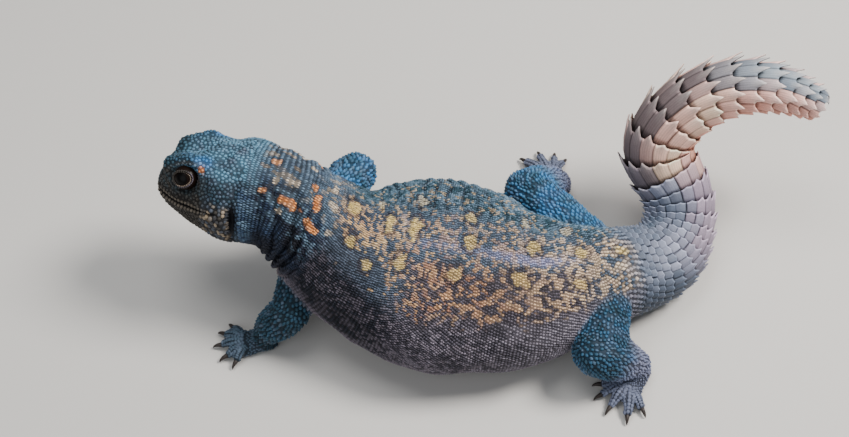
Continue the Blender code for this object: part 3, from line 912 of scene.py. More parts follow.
def chosen_share(number, share):
    """Nearly 1 for the share of the numbers from 0 to 1 that lie lowest, and else nearly 0."""
    return ramp(share - number, -0.04, 0.04)


def trunk_colour(places):
    """A net of tan on blue and brown with yellow spots, blue on the far side and grey below, and
    painted shade in the grooves of the far wrinkles.
    """
    u, point, angle = places.u, places.point, places.angle
    side = arc(places)
    wide, high, _, _ = shapes_at(u)
    coarse, fine, other = wobble(point, 8.0, 21), wobble(point, 2.0, 22), wobble(point, 2.6, 23)
    number = cells(u + 0.40 * fine, side + 0.40 * other, 1.35, 4)
    patch = cells(u + 0.6 * fine, side + 0.6 * other, 2.8, 14)
    second, third = number * 7.3 % 1.0, number * 31.7 % 1.0
    turn = side / np.maximum((wide + high) / 2, 1) + math.pi / 2 + 0.05 * coarse
    near_low, far = fall(turn, 0.50, 0.88), ramp(turn, 1.70, 2.05)
    front, rear = fall(u, 84, 106), ramp(u, 128, 168)
    warm = (1 - near_low) * (1 - far) * (1 - 0.9 * front * fall(turn, 1.0, 1.3))
    flank = fall(turn, 1.22, 1.42) * ramp(u, 92, 110) * fall(u, 160, 182)
    cold = layered(
        mix(NIGHT, SLATE, 0.15 + 0.55 * third),
        (mix(PLUM, DUSK, 0.5 * third), 0.85 * flank),
        (mix(STEEL, SLATE, third), 0.33 * (1 - flank) * (1 - 0.90 * front) + 0.04))
    brown = layered(
        mix(OCHRE, RUST, 1.2 * second - 0.1),
        (mix(SANDY, CREAM, 0.6), 0.55 * rear))
    tan = layered(
        mix(SANDY, ASH, second),
        (mix(YELLOW, OCHRE, 0.5), 0.45 * front),
        (CREAM, 0.35 * rear),
        (brown, 0.30 + 0.60 * flank + 0.2 * coarse + 0.3 * (patch - 0.5)))
    low = layered(
        mix(DUSK, ASH, 0.08 + 0.45 * second * ramp(u, 84, 118) + 0.85 * rear),
        (NIGHT, (0.68 - 0.38 * rear) * chosen_share(third, 0.50) + 0.60 * front))
    teal_share = 0.25 + 0.65 * chosen_share(second, 0.40) + 0.15 * coarse + 0.35 * fall(u, 88, 118)
    blue = layered(
        mix(STEEL, DEEP_TEAL, teal_share),
        (SANDY, 0.60 * chosen_share(number, 0.20 - 0.16 * ramp(turn, 2.1, 2.5))))
    groove, depth = far_wrinkles(places)
    line = bump((side + 2.6) / 1.7) * ramp(u, 96, 112) * fall(u, 158, 176)
    spot = spot_distance(places, YELLOW_SPOTS) + 0.20 * fine + 0.16 * other + 0.25 * (third - 0.5)
    centre = layered(
        mix(YELLOW, SANDY, 0.5 * second),
        (MIST, 0.6 * far),
        (OCHRE, 0.35 * flank))
    pale_low = mix(mix(DUSK, ASH, 0.3), BELLY, ramp(-np.sin(angle), 0.5, 0.85))
    return layered(
        cold,
        (tan, chosen_share(0.86 * number + 0.14 * patch, warm * (0.45 + 0.05 * front + 0.15 * rear))),
        (low, near_low),
        (blue, far),
        # Painted shade in the grooves of the far wrinkles.
        (NIGHT, 0.85 * depth * ramp(groove, 0.25, 0.8)),
        (LILAC, line * (0.30 + 0.55 * bump((u - 149) / 12)) * (0.6 + 0.4 * second)),
        (mix(NIGHT, PLUM, 0.5), 0.75 * bump((spot - 1.38) / 0.24) * (1 - near_low)),
        (centre, 0.85 * fall(spot, 0.80, 1.15)),
        (pale_low, ramp(-np.sin(angle), 0.18, 0.55)))


def neck_colour(places):
    """Navy folds with paler tops and painted shade in their grooves, and orange and cream spots."""
    u, point, angle = places.u, places.point, places.angle
    coarse, fine = wobble(point, 5.0, 41), wobble(point, 1.7, 42)
    number = cells(u + 0.4 * fine, arc(places) + 0.4 * coarse, 1.8, 6)
    top = ramp(np.sin(angle), 0.66, 0.92)
    groove, depth = neck_folds(places)
    cream = spot_distance(places, BEIGE_SPOTS) + 0.25 * fine
    orange = spot_distance(places, ORANGE_SPOTS) + 0.25 * fine
    return layered(
        mix(NIGHT, NAVY, 0.55 + 0.35 * coarse),
        (STEEL, 0.80 * chosen_share(number, 0.50) * ramp(np.sin(angle), -0.1, 0.4)),
        (mix(SLATE, STEEL, number), 0.50 * top),
        (SANDY, 0.5 * top * chosen_share(number * 5.3 % 1.0, 0.12)),
        (NIGHT, 0.75 * ramp(-np.sin(angle), -0.05, 0.35)),
        # Painted shade in the grooves between the neck's folds.
        (NIGHT, 0.8 * depth * ramp(groove, 0.3, 0.8)),
        (CREAM, 0.75 * fall(cream, 0.75, 1.1)),
        (NIGHT, 0.5 * bump((orange - 1.35) / 0.25)),
        (mix(ORANGE, CREAM, 0.35 * number), fall(orange, 0.88, 1.12)))


def head_colour(places):
    """Teal on top, umber on the face, and pale scales on the cheek, with a painted highlight along the
    brows and painted shade in the ears, nostrils and mouth line.
    """
    u, side, rise, point = places.u, np.abs(places.across), places.rise, places.point
    coarse, fine = wobble(point, 4.0, 31), wobble(point, 1.4, 32)
    number = cells(u + 0.3 * fine, np.arctan2(rise, places.across) * 16, 1.7, 8)
    second = number * 7.3 % 1.0
    brow = bump((u - 14.5) / 9.0, (side - 11.5) / 5.8, (rise - 20.0) / 6.0)
    blue_spot = bump((u - 21.5) / 2.8, (side - 12.8) / 2.6, (rise - 18.2) / 2.2)
    face = ramp(14.0 - rise, 0.0, 3.5) * fall(u, 20, 27) * ramp(side, 2.0, 6.0)
    cheek = ramp(5.5 - rise, 0.0, 3.0) * ramp(u, 20, 25) * fall(u, 33.0, 34.5)
    scaly = layered(
        mix(UMBER, SLATE, 0.6 * second),
        (SANDY, 0.55 * chosen_share(number, 0.24)))
    # A painted highlight along the ridge over the eye.
    ridge = bump((u - 15.0) / 6.0, (rise - brow_ridge(u)) / 0.75) * ramp(side, 5, 8)
    ear = bump((u - EAR_U) / 1.6, (rise - EAR_RISE) / 6.5) * (side > 5)
    return layered(
        mix(TEAL, SLATE, 0.30 + 0.25 * coarse + 0.25 * fine),
        (DEEP_TEAL, 0.5 * chosen_share(number, 0.22)),
        (mix(DEEP_TEAL, BLUE, 0.45 + 0.3 * fine), np.clip(1.5 * brow, 0, 1) * 0.85),
        (DEEP_TEAL, 0.85 * ramp(15.0 - u, 0.0, 7.0)),
        (SKY, 2.2 * blue_spot),
        (mix(DEEP_TEAL, SLATE, 0.12 + 0.6 * second), ramp(15.5 - rise, 0.0, 4.5) * ramp(u, 19, 25)),
        (mix(UMBER, DEEP_TEAL, 0.25 + 0.25 * fine), face),
        (UMBER, ramp(5.0 - rise, 0.0, 4.0) * fall(u, 20, 27)),
        (scaly, cheek),
        (mix(NAVY, STEEL, 0.9 * second), ramp(u, 34.5, 37.0) * ramp(14.0 - rise, 0, 5)),
        (NIGHT, 0.8 * ramp(-rise - 9.0, 0.0, 4.0)),
        # The painted highlight on the brow ridge.
        (mix(SANDY, MIST, 0.5), 0.5 * ridge),
        (ORANGE, 0.85 * fall(from_mark(places, ORANGE_MARK) + 0.3 * fine, 1.2, 1.9)),
        (mix(UMBER, DUSK, 0.35), 0.8 * fall(near_lids(point), 1.55, 2.0)),
        # Painted shade in the ear opening, the nostril and the line of the mouth.
        (NIGHT, 1.6 * ear),
        (NIGHT, fall(from_mark(places, NOSTRIL), 0.7, 1.2)),
        (NIGHT, 0.9 * ramp(MOUTH_END - u, 0.0, 2.0) * bump((rise - mouth_rise(u)) / 0.35)))


def tail_turn(u, angle):
    """The angle from the tail's back, which lies above at its root and to the right past its bend."""
    back = math.pi / 2 + (2.75 - math.pi / 2) * ramp(u, 222, 250)
    return (angle - back + math.pi) % (2 * math.pi) - math.pi


def tail_colour(places):
    """Grey and lilac on the coil, with painted shade on its near underside, then pink with a grey back.
    """
    u, point, angle = places.u, places.point, places.angle
    coarse, fine = wobble(point, 7.0, 51), wobble(point, 2.5, 52)
    back, side = np.cos(tail_turn(u, angle)), np.cos(angle)
    # The near underside of the coil, which is painted darker as shade.
    low = ramp(0.90 - np.sin(angle) + 0.15 * fine, 0.0, 0.7) * ramp(side, 0.0, 0.5)
    coil = layered(
        mix(TAIL_GREY, SLATE, 0.45 + 0.25 * coarse + 0.20 * fine),
        (DEEP_TEAL, 0.30 * ramp(-side, 0.0, 0.6) * fall(u, 215, 235)),
        (ROSE_GREY, ramp(side + 0.2 * fine, 0.2, 0.7) * ramp(u, 204, 220) * 0.85),
        (SLATE, 0.7 * fall(u, 190, 206)),
        # Painted shade on the coil's near underside.
        (mix(SLATE, NIGHT, 0.42), 0.90 * low * fall(u, 205, 224)))
    grey = layered(
        mix(MIST, SLATE, 0.70 + 0.3 * coarse - 0.70 * ramp(u, 262, 300)),
        (mix(MAUVE, SLATE, 0.2), 0.62 * fall(u, 278, 308)),
        (mix(UMBER, MAUVE, 0.5), 0.60 * ramp(u, 250, 262) * fall(u, 284, 304)))
    warm = layered(
        mix(PINK, SAND, np.clip(0.45 + 0.6 * coarse, 0, 1) * fall(u, 275, 305)),
        (SALMON, ramp(0.5 * ramp(u, 285, 305) - back, 0.25, 0.8) * 0.8),
        (MAUVE, 0.30 * ramp(back, 0.30, 0.60) * fall(u, 265, 290)),
        (grey, ramp(back + 0.10 * coarse, 0.52, 0.94)))
    return mix(coil, warm, ramp(u + 3.0 * coarse, *TO_PINK))


def limb_colour(places):
    """Blue as painted sunlight on the limbs that the sun meets, dark teal as painted shade on the
    others, and grey paws.
    """
    point, reach = places.point, places.reach
    coarse, fine = wobble(point, 6.0, 61), wobble(point, 1.8, 62)
    number = cells(point[:, 0] + point[:, 2], point[:, 1] + 0.6 * fine, 2.0, 9)
    # The blue that stands for sunlight on a limb; the dark teal under it stands for shade.
    painted_sunlit = layered(
        mix(BLUE, SKY, 0.35 + 0.4 * coarse + 0.3 * fine),
        (DEEP_TEAL, 0.6 * chosen_share(number, 0.25)))
    return layered(
        mix(INK_TEAL, DEEP_TEAL, 0.45 + 0.4 * coarse + 0.25 * fine),
        # Painted sunlight, by each limb's share, over the painted shade.
        (painted_sunlit, np.choose(places.limb, LIMB_PAINTED_LIGHT) * ramp(2.3 - reach, 0, 0.8)),
        (SLATE, 0.35 * chosen_share(number * 7.3 % 1.0, 0.30)),
        (mix(LILAC, ASH, 0.5), 0.50 * (places.limb >= FIRST_LEG) * ramp(reach, 1.15, 1.75)),
        (SLATE, ramp(reach, 1.9, 2.5) * 0.45))


def marking(places):
    """The animal's colour at each place."""
    u, angle = places.u, places.angle
    body = mix(neck_colour(places), trunk_colour(places), ramp(u + 1.5 * np.sin(5 * angle), *TO_TRUNK))
    body = mix(head_colour(places), body, ramp(u, *TO_NECK))
    body = mix(body, tail_colour(places), ramp(u + 1.5 * np.sin(7 * angle), *TO_TAIL))
    return np.clip(mix(body, limb_colour(places), places.limbness), DARKEST, 1)


# Scales: each template is points with x across, y towards its tip and z outward, triangles, and a shade
# for each point that multiplies the scale's colour: painted shade at its foot and a painted highlight
# towards its tip.
Template = namedtuple("Template", "points triangles shade")


def outward(points, triangles):
    """Turn each triangle of a closed, rounded form to face away from its middle."""
    centre = points.mean(axis=0)
    a, b, c = (points[triangles[:, k]] for k in range(3))
    inside = dot(np.cross(b - a, c - a), (a + b + c) / 3 - centre) < 0
    triangles[inside] = triangles[inside][:, ::-1]
    return triangles


def pad_template():
    """A low rhombus, highest towards its tip, painted dark round its foot as shade and with a painted
    highlight near its tip.
    """
    outer = [(0, -1, -.4), (1, 0, -.4), (0, 1, -.4), (-1, 0, -.4)]
    inner = [(0, -.5, .5), (.5, 0.1, .75), (0, .62, .95), (-.5, 0.1, .75)]
    triangles = [(0, 1, 2), (0, 2, 3), (4, 5, 6), (4, 6, 7)]
    for i in range(4):
        j = (i + 1) % 4
        triangles += [(i, j, 4 + j), (i, 4 + j, 4 + i)]
    points = np.array(outer + inner, float)
    # Painted shade round the foot and a painted highlight rising towards the tip.
    shade = np.array([.20] * 4 + [0.95, 1.2, 1.55, 1.2])
    return Template(points, outward(points, np.array(triangles)), shade)


def ringed_template(sides, waist, lean, height, top, painted_shades):
    """A round foot, a narrower ring above it and a tip, with a painted shading for each of the three:
    painted shade at the foot and a painted highlight at the tip.
    """
    turns = whole_turn(sides)
    rim = np.stack([np.cos(turns), np.sin(turns)], axis=1)
    points = np.vstack([np.column_stack([rim, np.full(sides, -.4)]),
                        np.column_stack([rim * waist + (0, lean), np.full(sides, height)]),
                        [[0, *top]]])
    triangles = []
    for i in range(sides):
        j = (i + 1) % sides
        triangles += [(i, j, sides + j), (i, sides + j, sides + i), (sides + i, sides + j, 2 * sides)]
    triangles += [(0, i, i + 1) for i in range(1, sides - 1)]
    foot, ring, tip = painted_shades
    shade = np.array([foot] * sides + [ring] * sides + [tip])
    return Template(points, outward(points, np.array(triangles)), shade)


def keel_template():
    """A pointed scale with a keel that rises to its tip, painted dark at its foot as shade and with a
    painted highlight at its tip.
    """
    points = np.array([(-.75, -1, -.5), (.75, -1, -.5), (-1, .1, 0), (1, .1, 0), (0, -.85, .3),
                       (0, .1, .75), (0, 1.25, 1.0), (0, .2, -.6)])
    triangles = np.array([(0, 2, 5), (0, 5, 4), (1, 4, 5), (1, 5, 3), (2, 6, 5), (5, 6, 3),
                          (0, 4, 1), (0, 1, 7), (1, 3, 7), (3, 6, 7), (6, 2, 7), (2, 0, 7)])
    # Painted shade at the foot and sides, and a painted highlight at the tip.
    shade = np.array([.4, .4, .6, .6, .85, 1.2, 1.7, .4])
    return Template(points, outward(points, triangles), shade)


PAD = pad_template()
# The last numbers of each are the painted shading at the foot, the ring and the tip: painted shade
# below and a painted highlight above.
DOME = ringed_template(7, .74, 0, .62, (0, 1.0), (.38, 1.05, 1.2))
CONE = ringed_template(6, .66, .14, .45, (.72, 1.05), (.30, .95, 1.75))
KEEL = keel_template()

# Half the size of a scale's patch on the flat map, and the most triangles in one piece.
PATCH = 0.0015
MOST_TRIANGLES = 190000


class Coat:
    """Scales of one sort, gathered until their mesh pieces are made."""

    def __init__(self, name, slot, material):
        self.name, self.slot, self.material = name, slot, material
        self.points, self.triangles, self.colours, self.flat = [], [], [], []
        self.count = 0

    def add(self, points, triangles, colours, flat):
        """Points (scales, n, 3), triangles (m, 3) of one scale, colours and flat map places."""
        scales, size = points.shape[:2]
        steps = (np.arange(scales) * size)[:, None, None]
        self.triangles.append((triangles[None] + steps).reshape(-1, 3) + self.count)
        self.points.append(points.reshape(-1, 3))
        self.colours.append(colours.reshape(-1, 3))
        self.flat.append(flat.reshape(-1, 2))
        self.count += scales * size

    def make(self):
        points, colours, flat = (np.vstack(rows) for rows in (self.points, self.colours, self.flat))
        triangles = np.vstack(self.triangles)
        points[:, 2] = np.maximum(points[:, 2], 0.02)
        parts = math.ceil(len(triangles) / MOST_TRIANGLES)
        for part, chosen in enumerate(split_shells(triangles, parts)):
            used, renumbered = np.unique(chosen, return_inverse=True)
            name = "%s_%d" % (self.name, part + 1) if parts > 1 else self.name
            piece = add_mesh(name, points[used], renumbered.reshape(-1, 3))
            paint_points(piece.data, np.clip(colours[used], 0, 1))
            layer = piece.data.uv_layers.new(name="OFBake")
            layer.data.foreach_set("uv", flat[used][renumbered.ravel()].astype(np.float32).ravel())
            finish_piece(piece, self.material)


def split_shells(triangles, parts):
    """Cut the list of triangles into parts, between scales."""
    edges = [0]
    for part in range(1, parts):
        k = len(triangles) * part // parts
        while triangles[k:].min() <= triangles[k - 1].max() and k < len(triangles) - 1:
            k += 1
        edges.append(k)
    edges.append(len(triangles))
    return [triangles[a:b] for a, b in zip(edges, edges[1:])]


def finish_piece(piece, material):
    piece.data.materials.clear()
    piece.data.materials.append(material)
    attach(piece, "root")


def flat_place(places):
    """Where each place lies on an unwrap of the skin: the body on the left, the limbs on the right."""
    turn = (places.angle / (2 * math.pi)) % 1.0
    body = np.column_stack([0.01 + 0.70 * places.u / LENGTH, 0.01 + 0.98 * turn])
    limb = np.column_stack([0.73 + 0.08 * places.reach, 0.02 + 0.24 * (places.limb + turn)])
    return np.where(places.limbness[:, None] > 0.5, limb, body)


class Surface:
    """The finished skin, for setting scales on."""

    def __init__(self, skin):
        self.points = read_points(skin.data)
        self.normals = read_normals(skin.data)
        self.places = locate(self.points)
        self.faces = [tuple(polygon.vertices) for polygon in skin.data.polygons]
        self.tree = BVHTree.FromPolygons(self.points.tolist(), self.faces)

    def nearest(self, points):
        """The nearest skin points and the directions that they face."""
        spots, ways = np.empty_like(points), np.empty_like(points)
        for i, point in enumerate(points):
            spot, _, face, _ = self.tree.find_nearest(Vector(point))
            spots[i] = spot
            ways[i] = self.normals[list(self.faces[face])].mean(axis=0)
        return spots, unit(ways)


def set_scales(coat, template, spots, normals, lie, length, width, height, colours, draw, uneven=0.12):
    """Set one scale on each spot, its tip along lie, and add them to the coat."""
    count = len(spots)
    lie = unit(lie - normals * dot(lie, normals)[:, None])
    side = np.cross(lie, normals)
    sizes = [np.broadcast_to(size, count) * (1 + uneven * draw.uniform(-1, 1, count))
             for size in (width, length, height)]
    x, y, z = (template.points[:, k] for k in range(3))
    points = (spots[:, None] + side[:, None] * (x * sizes[0][:, None])[..., None]
              + lie[:, None] * (y * sizes[1][:, None])[..., None]
              + normals[:, None] * (z * sizes[2][:, None])[..., None])
    tints = colours * (1 + 0.16 * draw.uniform(-1, 1, count))[:, None]
    # Each point's colour is multiplied by the template's painted shading: painted shade at the scale's
    # foot and a painted highlight towards its tip.
    tints_with_painted_light = tints[:, None] * template.shade[None, :, None]
    flat = flat_place(locate(spots))[:, None] + template.points[None, :, :2] * PATCH
    coat.add(points, template.triangles, tints_with_painted_light, flat)


def ring_angles(u, pitch, offset):
    """Angles round the body at equal steps of about the pitch."""
    fine = np.linspace(0, 2 * math.pi, 361)
    line = body_points(u, fine)
    travelled = np.concatenate([[0], np.cumsum(np.linalg.norm(np.diff(line, axis=0), axis=1))])
    count = 2 * max(4, round(travelled[-1] / pitch / 2))
    steps = (np.arange(count) + offset) / count * travelled[-1]
    return np.interp(steps, travelled, fine)


# The trunk's scales: their pitch round the body and along it, and where they start.
PAD_WIDE = 1.2
PAD_ROW = 0.80
TRUNK_SCALES_START = 37.0


def pad_growth(u):
    """How much larger the trunk's scales are towards the tail."""
    return 1 + 1.1 * ramp(u, 172, WHORLS_START)


def pad_squash(u):
    """How much longer and narrower the scales are on the neck and shoulders."""
    return 1 + 0.32 * fall(u, 95, 125)


def trunk_scales(surface, coat):
    """Fine scales in rows across the neck and trunk, each row set half a scale from the last."""
    draw = np.random.default_rng(71)
    rows = [TRUNK_SCALES_START]
    while rows[-1] < WHORLS_START + 0.5:
        rows.append(rows[-1] + PAD_ROW * float(pad_growth(rows[-1]) * pad_squash(rows[-1])))
    u, angle = [], []
    for k, row in enumerate(rows):
        angles = ring_angles(row, PAD_WIDE * float(pad_growth(row) / pad_squash(row)), 0.5 * (k % 2))
        u.append(np.full(len(angles), row))
        angle.append(angles)
    u, angle = np.concatenate(u), np.concatenate(angle)
    places = locate(body_points(u, angle, -SKIN_DEPTH))
    folds = fold_relief(places) * (1 - places.limbness)
    points = body_points(u, angle, folds - SKIN_DEPTH) + draw.normal(0, 0.09, (len(u), 3))
    points[:, 2] = np.maximum(points[:, 2], SKIN_FLOOR)
    keep = places.limbness < 0.5
    spots, normals = surface.nearest(points[keep])
    places = locate(spots)
    lie = spine_frames(places.u)[1]
    colours = marking(places._replace(angle=angle[keep]))
    colours = colours * draw.uniform(0.72, 1.28, (len(colours), 1))
    size, squash = pad_growth(u[keep]), pad_squash(u[keep])
    set_scales(coat, PAD, spots, normals, lie, PAD_ROW * 0.96 * size * squash,
               PAD_WIDE * 0.48 * size / squash, 0.30 + 0.08 * size, colours, draw, 0.18)


def spread(points, spacing, draw):
    """Thin the points out in random order so that none are nearer than the spacing there."""
    cell = spacing.max()
    steps = list(product((-1, 0, 1), repeat=3))
    kept, grid = [], {}
    for i in draw.permutation(len(points)):
        x, y, z = (int(value // cell) for value in points[i])
        near = (j for dx, dy, dz in steps for j in grid.get((x + dx, y + dy, z + dz), ()))
        if all(math.dist(points[i], points[j]) >= spacing[i] for j in near):
            kept.append(i)
            grid.setdefault((x, y, z), []).append(i)
    return np.array(kept)


def head_spacing(places):
    """Head scales are largest on the snout and cheek, and finest round the eye and throat."""
    side, rise, u = np.abs(places.across), places.rise, places.u
    size = 1.20 + 0.35 * bump((u - 8) / 9, side / 7, (rise - 14) / 8)
    size += 0.50 * bump((u - 27) / 5.5, (rise + 2.5) / 5.5)
    return size - 0.55 * fall(near_lids(places.point), 1.6, 3.2)


def head_holes(places):
    """Where the head has no scales of its own size: the eyes' openings, nostrils, lips and ears."""
    u, side, rise = places.u, np.abs(places.across), places.rise
    gap = np.where(u < LIPS_END, 1.5, np.where(u < MOUTH_END - 1.5, 0.6, 0.0))
    lips = np.abs(rise - mouth_rise(u)) < gap
    ear = (np.hypot((u - EAR_U) / 1.3, (rise - EAR_RISE) / 6.0) < 1) & (side > 5)
    return (near_lids(places.point) < 1.40) | (from_mark(places, NOSTRIL) < 1.1) | lips | ear


def head_scales(surface, coat):
    """Small domes, thinned out from the skin's own points."""
    draw = np.random.default_rng(72)
    face = (surface.places.u < TRUNK_SCALES_START) & (surface.places.limbness < 0.5)
    candidates = surface.points[face]
    chosen = spread(candidates, head_spacing(locate(candidates)), draw)
    chosen = chosen[~head_holes(locate(candidates[chosen]))]
    spots, normals = candidates[chosen], surface.normals[face][chosen]
    places = locate(spots)
    size = head_spacing(places) * 0.60
    set_scales(coat, DOME, spots, normals, spine_frames(places.u)[1], size, size, 0.36 * size + 0.1,
               marking(places), draw, 0.15)


def side_points(u, rise, side):
    """Points of the head's side at heights above the mouth line."""
    _, high, low, square = shapes_at(u)
    share = np.clip(rise / np.where(rise > 0, high, low) / end_round(u), -1, 1)
    turn = np.arcsin(signed_power(share, square / 2))
    return body_points(u, turn if side > 0 else math.pi - turn)


LIP_PITCH = 1.5


def edge_scales(surface, coat):
    """Scales set in lines: along the lips, round the eyes' openings and before the ears."""
    draw = np.random.default_rng(75)
    for side in (1, -1):
        u = np.arange(1.6, LIPS_END, LIP_PITCH)
        for above in (1.0, -1.0):
            spots, normals = surface.nearest(side_points(u, mouth_rise(u) + above, side))
            places = locate(spots)
            tones = mix(mix(marking(places), CREAM, 0.10), UMBER, 0.6 * ramp(places.u, 20, 26))
            set_scales(coat, DOME, spots, normals, spine_frames(places.u)[1], LIP_PITCH * 0.54, 0.78,
                       0.42, tones, draw, 0.06)
        centre, out, back, rise = eye_frame(side)
        turns = whole_turn(30)
        for grow, radius, tone in ((1.10, 0.27, mix(SANDY, DUSK, 0.5)), (1.28, 0.40, DUSK)):
            x, y = LID_LONG * grow * np.cos(turns), LID_TALL * grow * np.sin(turns)
            ahead = np.sqrt(np.maximum((EYE_RADIUS + 0.35) ** 2 - x * x - y * y, 0.2))
            ways = unit(np.outer(x, back) + np.outer(y, rise) + np.outer(ahead, out))
            # The rings are painted darker towards their upper front, as shade under the brow.
            tones = mix(tone, UMBER, 0.25 + 0.72 * ramp(-np.cos(turns + 0.8), -0.45, 0.35))
            round_eye = np.outer(-np.sin(turns), back) + np.outer(np.cos(turns), rise)
            set_scales(coat, DOME, centre + ways * (EYE_RADIUS + 0.34), ways, round_eye, radius,
                       radius * 0.9, 0.30, tones, draw, 0.10)
        heights = np.arange(EAR_RISE - 5.4, EAR_RISE + 5.6, 1.3)
        fringe = side_points(np.full(len(heights), EAR_U - 2.0), heights, side)
        spots, normals = surface.nearest(fringe)
        tones = mix(marking(locate(spots)), UMBER, 0.45)
        set_scales(coat, KEEL, spots, normals, spine_frames(EAR_U)[1], 0.95, 0.62, 0.5,
                   tones, draw, 0.35)


# The pitch of each limb's scales, in the order of LIMBS.
LIMB_PITCH = (1.75, 1.9, 1.55, 1.65)


def limb_ways(places):
    """The direction in which the scales of the limbs lie, from the body to the toes."""
    ways = np.zeros((len(places.u), 3))
    for index, limb in enumerate(LIMBS):
        for part, (a, b, _, _) in enumerate(limb_segments(limb)):
            here = (places.limb == index) & (np.minimum(places.reach.astype(int), 2) == part)
            ways[here] = unit(b - a)
    return ways


def digit_share(points):
    """How far along the nearest digit each point lies, or -1 for points off the digits."""
    share = np.full(len(points), -1.0)
    for digit in DIGITS:
        for t in np.linspace(0.15, 1.1, 16):
            close = np.linalg.norm(points - digit_line(digit, t), axis=1) < TOE_RADIUS * 1.25
            share = np.where(close, np.maximum(share, t), share)
    return share


def limb_scales(surface, coat):
    """Pointed scales over the limbs, and a row of broad ones along the top of each digit."""
    draw = np.random.default_rng(73)
    keep = np.flatnonzero((surface.places.limbness > 0.42) & (surface.points[:, 2] > 0.7))
    keep = keep[digit_share(surface.points[keep]) < 0]
    candidates = surface.points[keep]
    places = locate(candidates)
    size = np.choose(places.limb, LIMB_PITCH) * (1 - 0.38 * ramp(places.reach, 1.7, 2.3))
    size = size * (1 + 0.10 * wobble(candidates, 5.0, 14))
    chosen = spread(candidates, size * 0.76, draw)
    spots, normals = candidates[chosen], surface.normals[keep][chosen]
    places, size = locate(spots), size[chosen]
    set_scales(coat, CONE, spots, normals, limb_ways(places), size * 0.60, size * 0.50,
               size * draw.uniform(0.34, 0.52, len(spots)), marking(places), draw, 0.15)
    for digit in DIGITS:
        line = np.array([digit_line(digit, t) for t in np.linspace(0.12, 0.97, 8)])
        across = np.cross(digit.way, (0, 0, 1))
        length = np.linalg.norm(digit.end - digit.base) / 12
        for lean in (-0.95, 0.0, 0.95):
            way = across * math.sin(lean) + np.array((0, 0, math.cos(lean)))
            spots, normals = surface.nearest(line + way * TOE_RADIUS)
            set_scales(coat, DOME, spots, normals, digit.way, length, 0.92, 0.36,
                       marking(locate(spots)), draw)


def ring_edges():
    """Where each ring of plates starts along the body, and where the last one ends."""
    edges = [WHORLS_START]
    while edges[-1] < LENGTH - 6.0:
        edges.append(edges[-1] + float(np.interp(edges[-1], *RING_PITCH)))
    edges[-1] = LENGTH - 2.5
    return edges


# Where the tail's plates change along the body: from flat to ribbed, to long spines, to spines on
# all but the underside, and, before the ribs, to short points on the coil's sides.
RIBBED = (234, 254)
LONG_SPINED = (250, 290)
SPINED_ROUND = (275, 310)
SIDE_SPINED = (200, 216)

# A plate's grid, from its root to its rear edge, and from one side to the other.
PLATE_ROWS = np.array((0.0, 0.3, 0.62, 0.86, 1.0))
PLATE_COLUMNS = np.linspace(-1, 1, 13)


def plate_grid():
    """A tail plate's grid and its triangles: a top sheet and an under sheet joined all round."""
    rows, columns = len(PLATE_ROWS), len(PLATE_COLUMNS)
    along, across = grid_of(PLATE_ROWS, PLATE_COLUMNS)
    top, below = [], []
    count = rows * columns
    for r in range(rows - 1):
        for c in range(columns - 1):
            a, b = r * columns + c, r * columns + c + 1
            d, e = a + columns, b + columns
            top += [(a, b, e), (a, e, d)]
            below += [(a + count, e + count, b + count), (a + count, d + count, e + count)]
    rim = list(range(columns))
    rim += [r * columns + columns - 1 for r in range(1, rows)]
    rim += [(rows - 1) * columns + c for c in range(columns - 2, -1, -1)]
    rim += [r * columns for r in range(rows - 2, 0, -1)]
    sides = []
    for a, b in zip(rim, rim[1:] + rim[:1]):
        sides += [(a, a + count, b + count), (a, b + count, b)]
    return along, across, np.array(top + below + sides)


